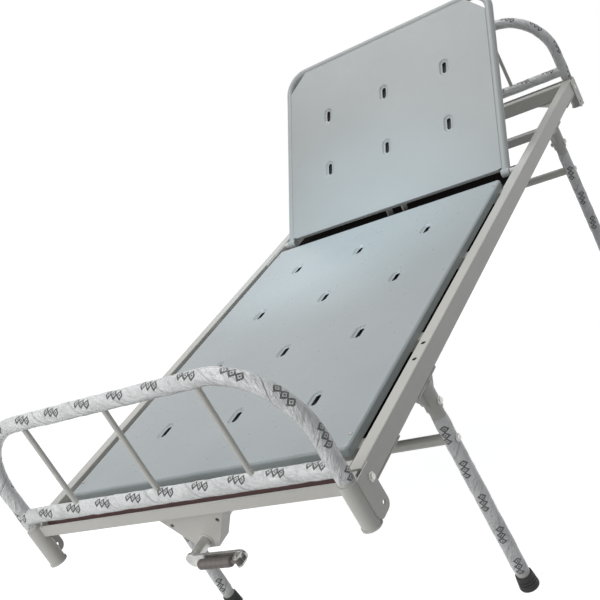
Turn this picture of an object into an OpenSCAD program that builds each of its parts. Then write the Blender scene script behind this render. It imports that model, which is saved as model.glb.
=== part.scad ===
// Hospital bed with a hand-cranked backrest.
// Millimetres. X runs across the bed, Y from foot to head and Z up; Z = 0 is the floor.

/* [Overall] */
// Width over the two side rails
bed_width = 900; // [860:5:960]
// Length of the frame over its two end rails
frame_length = 2010; // [1980:5:2060]
// Height of the side rails' top face above the floor
rail_top = 610; // [560:5:660]

/* [Frame tubes] */
// Width of a side or end rail
rail_w = 30; // [26:1:34]
// Height of a side or end rail
rail_h = 45; // [40:1:50]
// Wall of a rail
rail_wall = 2; // [1.5:0.5:2.5]
// Radius along a rail's edges
rail_edge_r = 3; // [2:0.5:4]
// Size of a cross member along the bed
cross_w = 30; // [24:1:36]
// Height of a cross member
cross_h = 24; // [20:1:26]
// Wall of a cross member
cross_wall = 2; // [1.5:0.5:3]
// Number of cross members under the deck
cross_count = 4; // [3:1:5]
// Distance of the outer cross members from the deck's ends
cross_inset = 38; // [25:1:60]
// Distance of the backrest's own cross member from the head end of the frame
rest_cross_from_head = 350; // [250:10:400]
// Short side of a corner gusset, from the frame's outer corner
gusset_side = 150; // [110:5:170]
// Thickness of a corner gusset
gusset_t = 3; // [2:0.5:5]

/* [Rail holes] */
// Diameter of the two holes in the right rail's top face
guard_hole_d = 11; // [8:0.5:14]
// Spacing of the two holes
guard_hole_pitch = 60; // [40:5:80]
// Distance from the foot end of the frame to the middle of the two holes
guard_hole_from_foot = 375; // [340:5:600]

/* [Corner sockets] */
// Outside diameter of a post socket
socket_od = 38; // [36:1:42]
// Length of a post socket
socket_len = 97; // [85:1:110]
// Drop of a socket's upper end below the rail top
socket_drop = 3; // [1:1:8]
// Distance from the frame's end face to the axis of the posts
post_out = 30; // [26:1:40]
// Width of the block that joins a socket to the frame
web_t = 22; // [12:1:24]
// Thickness of a corner plate
plate_t = 3; // [2:0.5:4]
// Distance that a corner plate reaches onto the side rail
plate_reach = 22; // [18:1:30]
// Radius of a corner plate's lower corners
plate_r = 16; // [8:1:20]
// Distance of a corner bolt from the frame's end face
corner_bolt_in = 10; // [9:1:14]
// Drop of a corner bolt below the rail top
corner_bolt_drop = 28; // [20:1:32]
// Drop of a corner plate's open hole below the rail top
corner_hole_drop = 82; // [70:1:86]
// Diameter of a corner plate's open hole
corner_hole_d = 9; // [7:0.5:11]
// Height of a socket's end cap below the socket
cap_h = 3; // [2:0.5:5]
// Reach of a socket's end cap past the socket's wall
cap_lip = 2; // [0:0.5:3]
// Depth of a socket's end cap inside the socket
cap_plug = 12; // [6:1:18]

/* [Bows] */
// Outside diameter of the bow tube
bow_od = 32; // [28:1:34]
// Wall of the bow tube
bow_wall = 1.5; // [1.2:0.1:2]
// Height of a bow's top centreline above the rail top
bow_rise = 262; // [240:2:320]
// Bend radius of a bow at its centreline
bow_bend = 170; // [120:5:185]
// Height of a bow's lower tube, at its centreline, above the rail top
bow_rail_rise = 30; // [24:1:40]
// Depth of the bow posts in their sockets
post_depth = 70; // [50:1:75]
// Diameter of a bow's upright bars
bow_bar_d = 12; // [8:0.5:14]
// Distance of the outer upright bars from the bow's bends
bow_bar_inset = 16; // [6:1:60]
// Height of the flat bar between two sockets
tie_h = 25; // [20:1:28]
// Thickness of the flat bar
tie_t = 6; // [4:1:10]
// Thickness of the packing film on tubes
film_t = 1.5; // [1:0.1:3]

/* [Legs] */
// Outside diameter of a leg
leg_od = 32; // [28:1:34]
// Wall of a leg
leg_wall = 1.5; // [1.2:0.1:2.5]
// Distance from a frame end to the legs
leg_from_end = 325; // [290:5:360]
// Length of a leg bracket's top plate
leg_plate_len = 110; // [90:5:130]
// Thickness of a leg bracket's top plate
leg_plate_t = 4; // [3:0.5:6]
// Thickness of a leg bracket's web
leg_web_t = 5; // [4:0.5:8]
// Outside diameter of a leg bracket's sleeve
sleeve_od = 38; // [37:1:42]
// Length of a leg bracket's sleeve below its plate
sleeve_len = 62; // [55:1:80]
// Drop of the leg bolts below the rail top
leg_bolt_drop = 96; // [85:1:100]
// Diameter of the stretcher between two legs
stretcher_d = 25; // [20:1:28]
// Height of the stretchers above the floor
stretcher_z = 420; // [380:5:440]
// Diameter of a ferrule at the floor
ferrule_base_d = 46; // [42:1:52]
// Diameter of a ferrule at its mouth
ferrule_top_d = 39; // [38:0.5:42]
// Height of a ferrule
ferrule_h = 38; // [30:1:46]
// Thickness of a ferrule's floor
ferrule_floor = 8; // [5:1:12]

/* [Deck] */
// Gap between the deck and a side rail
deck_side_gap = 28; // [20:1:50]
// Distance of the deck's head edge from the backrest's hinge axis
deck_hinge_gap = 72; // [62:2:112]
// Distance from the foot end of the frame to the deck
deck_from_foot = 67; // [50:1:80]
// Height of the deck's surface above the rail top
deck_rise = 3; // [1:0.5:5]
// Thickness of the deck sheet
deck_t = 1.5; // [1.2:0.1:2]
// Height of the deck's turned-down edges
deck_flange = 22; // [18:1:26]
// Outside bend radius of the deck's edges
deck_bend = 4; // [3:0.5:6]
// Distance of the deck's outer slots from its ends
deck_slot_end = 200; // [150:5:280]
// Number of slot rows in the deck
deck_slot_rows = 4; // [2:1:4]
// Gap between a dimple and the sides of the channel under it
stiffener_gap = 3.5; // [2:0.5:8]

/* [Slots] */
// Length of a slot
slot_len = 38; // [30:1:46]
// Width of a slot
slot_w = 13; // [8:1:16]
// Width of the pressed dimple round a slot
dimple_w = 34; // [30:1:40]
// Depth of a dimple
dimple_depth = 4; // [2:0.5:5]
// Distance between slots across the bed
slot_pitch_x = 222; // [200:2:230]

/* [Backrest] */
// Gap between the backrest and a side rail
back_side_gap = 21; // [17:1:30]
// Gap between the lowered backrest and the head end of the frame
back_head_gap = 40; // [36:1:70]
// Distance from the head end of the frame to the hinge
pivot_from_head = 691; // [689:1:720]
// Diameter of the backrest's frame tube
back_tube_d = 25; // [22:1:28]
// Wall of the backrest's frame tube
back_tube_wall = 1.5; // [1.2:0.1:2]
// Bend radius of the backrest's upper corners at the centreline
back_bend = 68; // [45:1:75]
// Thickness of the backrest sheet
back_sheet_t = 1.2; // [1:0.1:2]
// Depth of the sheet below the crown of the frame tube
back_sheet_inset = 2.5; // [2:0.5:4]
// Distance from the hinge to the sheet's lower edge
back_sheet_start = 10; // [10:1:14]
// Height of the sheet's turned-down lower edge
back_lip = 14; // [10:1:16]
// Size of the diagonal cuts at the sheet's upper corners
back_corner_cut = 64; // [50:1:80]
// Distance between the backrest's two slot rows
back_slot_pitch = 200; // [160:5:220]
// Distance from the hinge to the backrest's first slot row
back_slot_first = 220; // [200:5:240]
// Side of the backrest's cross tubes
back_cross = 20; // [16:1:22]
// Distance from the hinge to the middle of the lower cross tube
back_cross_low = 26; // [25:1:40]
// Distance from the hinge to the middle of the upper cross tube
back_cross_high = 320; // [310:5:330]
// Angle of the backrest as it stands
rest_angle = 42; // [0:1:70]

/* [Hinges] */
// Diameter of the hinge pins
hinge_pin_d = 12; // [10:0.5:14]
// Thickness of a hinge bracket
hinge_plate_t = 6; // [4:0.5:8]
// Distance that a hinge bracket reaches from the hinge towards the foot
hinge_plate_foot = 140; // [100:5:160]
// Distance that a hinge bracket reaches from the hinge towards the head
hinge_plate_head = 20; // [16:1:26]
// Diameter of the spacer boss on a hinge bracket
hinge_boss_d = 18; // [16:1:20]

/* [Lift mechanism] */
// Drop of the crank shaft's axis below the rail top
screw_drop = 118; // [110:1:125]
// Diameter of the crank shaft
shaft_d = 25; // [22:1:28]
// Diameter of the lead screw
screw_d = 20; // [16:1:20]
// Backrest angle at which the lift lever hangs straight down
lever_mid_angle = 35; // [30:1:40]
// Largest backrest angle
max_angle = 70; // [60:1:75]
// Thickness of a lift lever cheek
cheek_t = 5; // [4:0.5:8]
// Distance of each cheek's middle from the screw
cheek_x = 27; // [25:1:34]
// Metal left beside the lever's slot
cheek_rim = 8; // [6:0.5:12]
// Diameter of the nut's trunnion pins
trunnion_d = 12; // [10:0.5:14]
// Play of a trunnion in the lever's slot on each side
trunnion_play = 3; // [2.8:0.1:4]
// Width of the nut across the bed
nut_w = 40; // [36:1:42]
// Length of the nut along the screw
nut_len = 44; // [30:1:46]
// Height of the nut
nut_h = 36; // [32:1:40]
// Length of the tube that guides the foot end of the shaft
bush_len = 46; // [36:1:60]
// Outside diameter of the shaft's bushes
bush_od = 36; // [34:1:40]
// Width of the crank hanger at the end rail
hanger_top_w = 190; // [150:5:220]
// Width of the crank hanger at its foot
hanger_low_w = 52; // [46:1:70]
// Depth of the crank hanger along the bed
hanger_depth = 40; // [30:1:50]
// Thickness of the crank hanger's sheet
hanger_t = 3; // [2:0.5:4]
// Diameter of the hanger's bolt holes
hanger_hole_d = 9; // [7:0.5:11]

/* [Crank] */
// Length of the crank arm between its two axes
arm_len = 130; // [110:5:150]
// Width of the crank arm
arm_w = 24; // [20:1:30]
// Thickness of the crank arm
arm_t = 6; // [5:0.5:8]
// Length of the folding grip
grip_len = 88; // [70:1:90]
// Diameter of the folding grip
grip_d = 22; // [20:1:24]
// Diameter of the grip's neck
grip_neck_d = 10; // [8:0.5:12]
// Diameter of the grip's eye and its lugs
grip_eye_d = 14; // [12:0.5:18]
// Height of the grip's eye
grip_eye_h = 14; // [10:0.5:18]
// Thickness of a lug
lug_t = 4; // [3:0.5:6]
// Diameter of the grip's pin
grip_pin_d = 6; // [5:0.5:8]

/* [Fasteners and fits] */
// Diameter of the bolts
bolt_d = 8; // [6:1:10]
// Width across the corners of a bolt head
bolt_head_d = 14.6; // [13:0.1:18]
// Height of a bolt head
bolt_head_h = 5.5; // [4:0.5:8]
// Radial clearance of pins and shafts that turn
run_fit = 0.1; // [0.05:0.01:0.1]
// Radial clearance of tubes that slide together once
slip_fit = 0.3; // [0.2:0.05:0.4]
// Gap between parts that pass each other
pass_gap = 1; // [0.8:0.1:2]
// Gap between the crank and the front of the foot bow
crank_gap = 4; // [3:0.5:8]

/* [Hidden] */

$fn = 48;

// Overrun of cutting shapes past the faces that they cut
over = 1;
// Height of one unit of a polygon that stands for a hexagon
HEX = 6;
FOOT = -1;
HEAD = 1;
LEFT = -1;
RIGHT = 1;

half_w = bed_width / 2;
half_l = frame_length / 2;
rail_x = half_w - rail_w / 2;
rail_in_x = half_w - rail_w;

post_x = half_w - socket_od / 2;
post_y = half_l + post_out;
post_r = bow_od / 2;
cap_r = socket_od / 2 + cap_lip;
film_gap = slip_fit;
film_in_r = post_r + film_gap;
film_out_r = post_r + film_t;
socket_top = rail_top - socket_drop;
socket_bottom = socket_top - socket_len;
socket_in_r = post_r + slip_fit;
bow_top = rail_top + bow_rise;
bow_bar_pitch = post_x - bow_bend - bow_bar_inset;
bow_rail_z = rail_top + bow_rail_rise;
film_start = rail_top + socket_drop;

plate_top = rail_top - socket_drop;
corner_bolt_y = half_l - corner_bolt_in;
corner_bolt_z = rail_top - corner_bolt_drop;
corner_hole_z = rail_top - corner_hole_drop;
nut_in_rail = 6.5;

leg_x = rail_x;
leg_y = half_l - leg_from_end;
leg_r = leg_od / 2;
leg_top = rail_top - rail_h - leg_plate_t;
leg_bolt_z = rail_top - leg_bolt_drop;
sleeve_bottom = leg_top - sleeve_len;
leg_film_r = leg_r + film_t;
leg_film_gap_high = 20;
leg_film_gap_low = 12;

deck_top = rail_top + deck_rise;
pivot_y = half_l - pivot_from_head;
pivot_z = deck_top - back_tube_d / 2;
deck_width = 2 * (rail_in_x - deck_side_gap);
deck_foot_y = deck_from_foot - half_l;
deck_head_y = pivot_y - deck_hinge_gap;
deck_mid_y = (deck_foot_y + deck_head_y) / 2;
deck_length = deck_head_y - deck_foot_y;
flange_bottom = deck_top - deck_flange;
deck_slot_pitch = (deck_length - 2 * deck_slot_end) / (deck_slot_rows - 1);
dimple_len = slot_len + dimple_w - slot_w;
cross_pitch = (deck_length - 2 * cross_inset) / (cross_count - 1);
stiffener_end_gap = 30;
stiffener_t = deck_t;
stiffener_w = dimple_w + 2 * (stiffener_gap + stiffener_t);

back_r = back_tube_d / 2;
backrest_width = 2 * (rail_in_x - back_side_gap);
back_x = backrest_width / 2 - back_r;
back_reach = pivot_from_head - back_head_gap - back_r;
sheet_top = back_r - back_sheet_inset;
sheet_low = sheet_top - back_sheet_t;
tube_seat = sqrt(back_r * back_r - sheet_low * sheet_low) + slip_fit;
sheet_half_w = back_x - tube_seat;
sheet_end = back_reach - tube_seat;
back_cross_wall = 1.5;
back_rib_w = dimple_w + 2 * (stiffener_gap + back_sheet_t);
rib_end_gap = 4;

screw_z = rail_top - screw_drop;
lever_h = pivot_z - screw_z;
// Nut travel per radian of backrest angle, as a share of the lever's height
nut_rate_share = 1.107;
nut_rate = nut_rate_share * lever_h;
nut_y = pivot_y + nut_rate * (rest_angle - lever_mid_angle) * PI / 180;
nut_low_y = pivot_y - nut_rate * lever_mid_angle * PI / 180;
nut_high_y = pivot_y + nut_rate * (max_angle - lever_mid_angle) * PI / 180;
lever_swing = max(lever_mid_angle, max_angle - lever_mid_angle);
slot_end_play = 0.5;
slot_near = lever_h + slot_end_play;
slot_far = lever_h / cos(lever_swing) - slot_end_play;
fork_r = trunnion_d / 2 + trunnion_play;
cheek_r = fork_r + cheek_rim;
trunnion_reach = cheek_x + cheek_t / 2 + trunnion_play;

last_cross_y = deck_head_y - cross_inset;
screw_plate_t = 6;
screw_plate_w = 60;
screw_bush_len = 24;
screw_plate_y = last_cross_y - cross_w / 2 - screw_plate_t;
collar_d = 34;
collar_len = 8;
screw_head_y = nut_high_y + nut_len / 2 + collar_len;
screw_foot_y = screw_plate_y - screw_bush_len * 6;
shaft_bore_d = screw_d + 2 * slip_fit;
shaft_overlap = 60;
bush_foot_y = -half_l - pass_gap;

bow_front_y = -(post_y + film_out_r);
arm_back_y = bow_front_y - crank_gap;
arm_front_y = arm_back_y - arm_t;
grip_back_gap = 2;
grip_y = arm_front_y - grip_back_gap - grip_d / 2;
grip_neck_len = 8;
crank_front_y = grip_y - grip_d / 2;
shaft_end_y = arm_back_y;
boss_d = 32;

// The whole bed is moved so that Y = 0 is the middle of its overall length
mid_shift = (-crank_front_y - (post_y + max(film_out_r, cap_r))) / 2;

cream = [0.74, 0.74, 0.70];
deck_grey = [0.70, 0.75, 0.76];
back_grey = [0.69, 0.70, 0.70];
film_white = [0.88, 0.88, 0.86];
rubber = [0.10, 0.10, 0.10];
zinc = [0.62, 0.63, 0.64];
steel = [0.50, 0.50, 0.51];
grip_grey = [0.36, 0.34, 0.33];

module placed() translate([0, mid_shift, 0]) children();

// The backrest is drawn flat, with its hinge axis at the origin, and then raised
module raised() translate([0, pivot_y, pivot_z]) rotate([rest_angle, 0, 0]) children();

module rounded_rect(w, h, r) {
    square([w - 2 * r, h], center = true);
    square([w, h - 2 * r], center = true);
    for (x = [-1, 1], y = [-1, 1])
        translate([x * (w / 2 - r), y * (h / 2 - r)]) circle(r);
}

// A channel's outline: open below, with rounded upper corners, top at the origin
module arch(w, h, r) {
    translate([-w / 2 + r, -h]) square([w - 2 * r, h]);
    translate([-w / 2, -h]) square([w, h - r]);
    for (x = [-1, 1]) translate([x * (w / 2 - r), -r]) circle(r);
}

module channel_outline(w, h, t, r) difference() {
    arch(w, h, r);
    translate([0, -t]) arch(w - 2 * t, h, r - t);
}

module stadium(l, r) {
    square([2 * r, l - 2 * r], center = true);
    for (y = [-1, 1]) translate([0, y * (l / 2 - r)]) circle(r);
}

module rod_x(x0, x1, r) translate([x0, 0, 0]) rotate([0, 90, 0]) cylinder(h = x1 - x0, r = r);
module rod_y(y0, y1, r) translate([0, y1, 0]) rotate([90, 0, 0]) cylinder(h = y1 - y0, r = r);
module rod_z(z0, z1, r) translate([0, 0, z0]) cylinder(h = z1 - z0, r = r);

// A U-shaped rod in the XY plane: legs start at y = start and the top lies at y = reach
module u_rod(half, start, reach, bend, r) {
    for (s = [-1, 1]) translate([s * half, 0, 0]) rod_y(start, reach - bend, r);
    translate([half - bend, reach - bend, 0])
        rotate_extrude(angle = 90) translate([bend, 0]) circle(r);
    translate([-half + bend, reach - bend, 0]) rotate([0, 0, 90])
        rotate_extrude(angle = 90) translate([bend, 0]) circle(r);
    translate([0, reach, 0]) rod_x(-half + bend, half - bend, r);
}

module u_tube(half, start, reach, bend, r, wall) difference() {
    u_rod(half, start, reach, bend, r);
    u_rod(half, start - over, reach, bend, r - wall);
}

module hex_head(h) cylinder(h = h, d = bolt_head_d, $fn = HEX);

// A bolt along +X: head outside x = 0, shank running to -X, nut at its end
module bolt_x(grip, nut_h) {
    rotate([0, 90, 0]) hex_head(bolt_head_h);
    rod_x(-grip - nut_h, over, bolt_d / 2);
    translate([-grip - nut_h, 0, 0]) rotate([0, 90, 0]) hex_head(nut_h);
}

// Side and end rails

module side_rail(side) color(cream) difference() {
    translate([side * rail_x, half_l, rail_top - rail_h / 2]) rotate([90, 0, 0])
        linear_extrude(frame_length) rounded_rect(rail_w, rail_h, rail_edge_r);
    translate([side * rail_x, half_l - rail_wall, rail_top - rail_h / 2]) rotate([90, 0, 0])
        linear_extrude(frame_length - 2 * rail_wall)
            square([rail_w - 2 * rail_wall, rail_h - 2 * rail_wall], center = true);
    for (end = [FOOT, HEAD]) translate([side * rail_x, end * corner_bolt_y, corner_bolt_z])
        rod_x(side > 0 ? 0 : -rail_w, side > 0 ? rail_w : 0, bolt_d / 2 + slip_fit);
    if (side == RIGHT)
        for (s = [-1, 1])
            translate([rail_x, -half_l + guard_hole_from_foot + s * guard_hole_pitch / 2, 0])
                rod_z(rail_top - rail_h / 2, rail_top + over, guard_hole_d / 2);
}

module end_rail(end) color(cream)
    translate([-rail_in_x, end * (half_l - rail_w / 2), rail_top - rail_h / 2])
        rotate([90, 0, 90]) linear_extrude(2 * rail_in_x) difference() {
            rounded_rect(rail_w, rail_h, rail_edge_r);
            square([rail_w - 2 * rail_wall, rail_h - 2 * rail_wall], center = true);
        }

module cross_tube(y, top) translate([-rail_in_x, y, top - cross_h / 2])
    rotate([90, 0, 90]) linear_extrude(2 * rail_in_x) difference() {
        square([cross_w, cross_h], center = true);
        square([cross_w - 2 * cross_wall, cross_h - 2 * cross_wall], center = true);
    }

module cross_members() color(cream) {
    for (i = [0 : cross_count - 1])
        cross_tube(deck_foot_y + cross_inset + i * cross_pitch, flange_bottom);
    cross_tube(half_l - rest_cross_from_head, pivot_z - back_r - pass_gap);
}

module corner_gussets() color(cream)
    for (side = [LEFT, RIGHT], end = [FOOT, HEAD])
        translate([side * half_w, end * half_l, rail_top - rail_h - gusset_t])
            linear_extrude(gusset_t) polygon([
                [0, 0], [-side * gusset_side, 0], [0, -end * gusset_side]]);

// Corner sockets, plates and bolts

module corner_plates(end) color(cream)
    for (side = [LEFT, RIGHT])
        translate([side * half_w + (side > 0 ? 0 : -plate_t), 0, 0]) rotate([90, 0, 90])
            linear_extrude(plate_t) difference() {
                corner_plate_outline(end);
                translate([end * corner_bolt_y, corner_bolt_z]) circle(bolt_d / 2 + slip_fit);
                translate([end * (half_l - corner_bolt_in / 2), corner_hole_z])
                    circle(corner_hole_d / 2);
            }

module corner_plate_outline(end) {
    plate_low = socket_bottom + plate_r;
    plate_in = half_l - plate_reach;
    plate_span = post_y - plate_in;
    mirror([end > 0 ? 0 : 1, 0]) {
        translate([plate_in, plate_low]) square([plate_span, plate_top - plate_low]);
        translate([plate_in + plate_r, socket_bottom])
            square([plate_span - 2 * plate_r, plate_r + over]);
        for (y = [plate_in + plate_r, post_y - plate_r])
            translate([y, plate_low]) circle(plate_r);
    }
}

module corner_socket(side, end) color(cream) difference() {
    union() {
        translate([side * post_x, end * post_y, 0])
            rod_z(socket_bottom, socket_top, socket_od / 2);
        translate([side * post_x - web_t / 2, end > 0 ? half_l : -post_y, rail_top - rail_h])
            cube([web_t, post_out, rail_h - socket_drop]);
    }
    translate([side * post_x, end * post_y, 0])
        rod_z(socket_bottom - over, socket_top + over, socket_in_r);
}

module socket_caps() color(film_white)
    for (side = [LEFT, RIGHT], end = [FOOT, HEAD])
        translate([side * post_x, end * post_y, 0]) {
            rod_z(socket_bottom - cap_h, socket_bottom, cap_r);
            rod_z(socket_bottom - cap_h / 2, socket_bottom + cap_plug, post_r);
        }

module corner_bolts() color(zinc)
    for (side = [LEFT, RIGHT], end = [FOOT, HEAD])
        translate([0, end * corner_bolt_y, corner_bolt_z]) mirror([side > 0 ? 0 : 1, 0, 0])
            translate([half_w + plate_t, 0, 0]) bolt_x(plate_t + rail_wall, nut_in_rail);

module tie_bar(end) color(cream) difference() {
    translate([-post_x, end * post_y - tie_t / 2, socket_top - tie_h])
        cube([2 * post_x, tie_t, tie_h]);
    for (side = [LEFT, RIGHT]) translate([side * post_x, end * post_y, 0])
        rod_z(socket_bottom, socket_top + over, socket_od / 2);
}

// Bows at the two ends

module bow_plane(end) translate([0, end * post_y, 0]) rotate([90, 0, 0]) children();

module bow_hoop(end) color(cream) bow_plane(end)
    u_tube(post_x, rail_top - post_depth, bow_top, bow_bend, post_r, bow_wall);

module bow_rail(end) color(cream) difference() {
    translate([0, end * post_y, bow_rail_z]) rod_x(-post_x, post_x, post_r);
    translate([0, end * post_y, bow_rail_z]) rod_x(-post_x, post_x, post_r - bow_wall);
    for (side = [LEFT, RIGHT]) translate([side * post_x, end * post_y, 0])
        rod_z(rail_top, bow_top, post_r);
}

module bow_bar_places(end) for (i = [-1, 0, 1])
    translate([i * bow_bar_pitch, end * post_y, 0]) children();

module bow_bars(end) color(cream) difference() {
    bow_bar_places(end) rod_z(bow_rail_z, bow_top, bow_bar_d / 2);
    translate([0, end * post_y, bow_rail_z]) rod_x(-post_x, post_x, post_r);
    translate([0, end * post_y, bow_top]) rod_x(-post_x, post_x, post_r);
}

module hoop_film(end) color(film_white) difference() {
    bow_plane(end) u_rod(post_x, film_start, bow_top, bow_bend, film_out_r);
    bow_plane(end) u_rod(post_x, film_start - over, bow_top, bow_bend, film_in_r);
    bow_bar_places(end) rod_z(bow_rail_z, bow_top, bow_bar_d / 2 + film_gap);
    translate([0, end * post_y, bow_rail_z]) rod_x(-post_x, post_x, film_in_r);
}

module rail_film(end) color(film_white) difference() {
    translate([0, end * post_y, bow_rail_z]) rod_x(-post_x, post_x, film_out_r);
    translate([0, end * post_y, bow_rail_z]) rod_x(-post_x - over, post_x + over, film_in_r);
    for (side = [LEFT, RIGHT]) translate([side * post_x, end * post_y, 0])
        rod_z(rail_top, bow_top, film_out_r + film_gap);
    bow_bar_places(end) rod_z(bow_rail_z, bow_top, bow_bar_d / 2 + film_gap);
}

// Legs

module leg(side, end) color(cream) translate([side * leg_x, end * leg_y, 0]) difference() {
    rod_z(ferrule_floor, leg_top, leg_r);
    rod_z(ferrule_floor - over, leg_top + over, leg_r - leg_wall);
    for (z = [leg_bolt_z, stretcher_z]) translate([0, 0, z])
        rod_x(-leg_od, leg_od, bolt_d / 2 + slip_fit);
}

module leg_bracket(side, end) color(cream)
    translate([side * leg_x, end * leg_y, 0]) difference() {
        union() {
            translate([-rail_w / 2, -leg_plate_len / 2, leg_top])
                cube([rail_w, leg_plate_len, leg_plate_t]);
            rod_z(sleeve_bottom, leg_top, sleeve_od / 2);
            translate([-leg_web_t / 2, 0, 0]) rotate([90, 0, 90]) linear_extrude(leg_web_t)
                polygon([
                    [-leg_plate_len / 2, leg_top + leg_plate_t / 2],
                    [leg_plate_len / 2, leg_top + leg_plate_t / 2],
                    [leg_plate_len / 2, leg_top - leg_plate_t],
                    [sleeve_od / 2, sleeve_bottom + sleeve_len / 4],
                    [-sleeve_od / 2, sleeve_bottom + sleeve_len / 4],
                    [-leg_plate_len / 2, leg_top - leg_plate_t]]);
        }
        rod_z(sleeve_bottom - over, leg_top, leg_r + slip_fit);
        translate([0, 0, leg_bolt_z]) rod_x(-sleeve_od, sleeve_od, bolt_d / 2 + slip_fit);
    }

module ferrule(side, end) color(rubber) translate([side * leg_x, end * leg_y, 0])
    rotate_extrude() polygon([
        [0, 0], [ferrule_base_d / 2, 0], [ferrule_base_d / 2, ferrule_floor],
        [ferrule_top_d / 2, ferrule_h], [leg_r + slip_fit, ferrule_h],
        [leg_r + slip_fit, ferrule_floor], [0, ferrule_floor]]);

module leg_films() color(film_white)
    for (side = [LEFT, RIGHT], end = [FOOT, HEAD])
        translate([side * leg_x, end * leg_y, 0]) difference() {
            rod_z(ferrule_h + leg_film_gap_low, sleeve_bottom - leg_film_gap_high, leg_film_r);
            rod_z(ferrule_h, sleeve_bottom, leg_r + film_gap);
            translate([0, 0, stretcher_z]) mirror([side > 0 ? 0 : 1, 0, 0]) {
                rod_x(-leg_od, 0, stretcher_d / 2 + film_gap);
                rod_x(0, leg_od, bolt_head_d / 2 + film_gap);
            }
        }

module stretcher(end) color(cream) difference() {
    translate([0, end * leg_y, stretcher_z]) {
        difference() {
            rod_x(-leg_x, leg_x, stretcher_d / 2);
            rod_x(-leg_x - over, leg_x + over, stretcher_d / 2 - leg_wall);
        }
    }
    for (side = [LEFT, RIGHT])
        translate([side * leg_x, end * leg_y, 0]) rod_z(0, leg_top, leg_r);
}

module leg_bolts() color(zinc)
    for (side = [LEFT, RIGHT], end = [FOOT, HEAD]) mirror([side > 0 ? 0 : 1, 0, 0]) {
        translate([leg_x + sleeve_od / 2, end * leg_y, leg_bolt_z])
            bolt_x(sleeve_od, bolt_head_h);
        translate([leg_x + leg_r, end * leg_y, stretcher_z]) bolt_x(leg_od, bolt_head_h);
    }

// Pressed sheets

// Half of a dimple's section, from the slot's edge into the sheet round it
module dimple_section(t) {
    slot_r = slot_w / 2;
    rim_r = dimple_w / 2;
    floor_r = rim_r - dimple_depth - (rim_r - slot_r) / 4;
    polygon([
        [slot_r, -dimple_depth], [floor_r, -dimple_depth], [rim_r, 0], [rim_r + t, 0],
        [rim_r + t, -t], [rim_r, -t], [floor_r, -dimple_depth - t],
        [slot_r, -dimple_depth - t]]);
}

// A pressed oval dish with a slot in its floor, its rim at z = 0
module dimple(t) {
    straight = dimple_len - dimple_w;
    translate([0, straight / 2, 0]) rotate([90, 0, 0]) linear_extrude(straight) {
        dimple_section(t);
        mirror([1, 0]) dimple_section(t);
    }
    translate([0, straight / 2, 0]) rotate_extrude(angle = 180) dimple_section(t);
    translate([0, -straight / 2, 0]) rotate([0, 0, 180])
        rotate_extrude(angle = 180) dimple_section(t);
}

module deck_slot_places()
    for (i = [-1, 0, 1], j = [0 : deck_slot_rows - 1])
        translate([i * slot_pitch_x, deck_foot_y + deck_slot_end + j * deck_slot_pitch])
            children();

module deck_panel() color(deck_grey) {
    difference() {
        union() {
            translate([0, deck_head_y - deck_bend, deck_top]) rotate([90, 0, 0])
                linear_extrude(deck_length - 2 * deck_bend)
                    channel_outline(deck_width, deck_flange, deck_t, deck_bend);
            translate([-deck_width / 2 + deck_bend, deck_mid_y, deck_top]) rotate([90, 0, 90])
                linear_extrude(deck_width - 2 * deck_bend)
                    channel_outline(deck_length, deck_flange, deck_t, deck_bend);
        }
        translate([0, 0, deck_top - deck_flange / 2]) linear_extrude(deck_flange)
            deck_slot_places() stadium(dimple_len, dimple_w / 2);
    }
    translate([0, 0, deck_top]) deck_slot_places() dimple(deck_t);
}

// A channel under each row of slots, open towards the sheet
module deck_stiffeners() color(deck_grey)
    for (i = [-1, 0, 1])
        translate([i * slot_pitch_x, deck_head_y - stiffener_end_gap, flange_bottom])
            rotate([90, 0, 0]) linear_extrude(deck_length - 2 * stiffener_end_gap) mirror([0, 1])
                channel_outline(stiffener_w, deck_flange - deck_t, stiffener_t, deck_bend);

// Hinges of the backrest

module hinge_bracket(side) color(cream) {
    boss_in = backrest_width / 2 + pass_gap;
    mirror([side > 0 ? 0 : 1, 0, 0]) difference() {
        union() {
            translate([rail_in_x - hinge_plate_t, pivot_y - hinge_plate_foot, flange_bottom])
                cube([hinge_plate_t, hinge_plate_foot + hinge_plate_head,
                    plate_top - flange_bottom]);
            translate([0, pivot_y, pivot_z]) rod_x(boss_in, rail_in_x, hinge_boss_d / 2);
        }
        translate([0, pivot_y, pivot_z])
            rod_x(boss_in - over, rail_in_x + over, hinge_pin_d / 2);
    }
}

module hinge_pins() color(zinc)
    for (side = [LEFT, RIGHT]) mirror([side > 0 ? 0 : 1, 0, 0])
        translate([0, pivot_y, pivot_z])
            rod_x(back_x - back_r, rail_in_x, hinge_pin_d / 2);

// Backrest

module back_cross_tube(d) {
    translate([-back_x, d, sheet_low - back_cross / 2]) rotate([90, 0, 90])
        linear_extrude(2 * back_x) difference() {
            square(back_cross, center = true);
            square(back_cross - 2 * back_cross_wall, center = true);
        }
}

module backrest_frame() color(back_grey) raised() {
    difference() {
        u_rod(back_x, 0, back_reach, back_bend, back_r);
        u_rod(back_x, back_r, back_reach, back_bend, back_r - back_tube_wall);
        for (s = [-1, 1]) translate([s * back_x, 0, 0])
            rod_x(-back_r - over, back_r + over, hinge_pin_d / 2 + run_fit);
    }
    for (s = [-1, 1]) translate([s * back_x, 0, 0]) difference() {
        rod_x(-back_r, back_r, back_r);
        rod_x(-back_r - over, back_r + over, hinge_pin_d / 2 + run_fit);
    }
    difference() {
        for (d = [back_cross_low, back_cross_high]) back_cross_tube(d);
        for (s = [-1, 1]) translate([s * back_x, 0, 0])
            rod_y(0, back_reach - back_bend, back_r - back_tube_wall / 2);
    }
}

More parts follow.
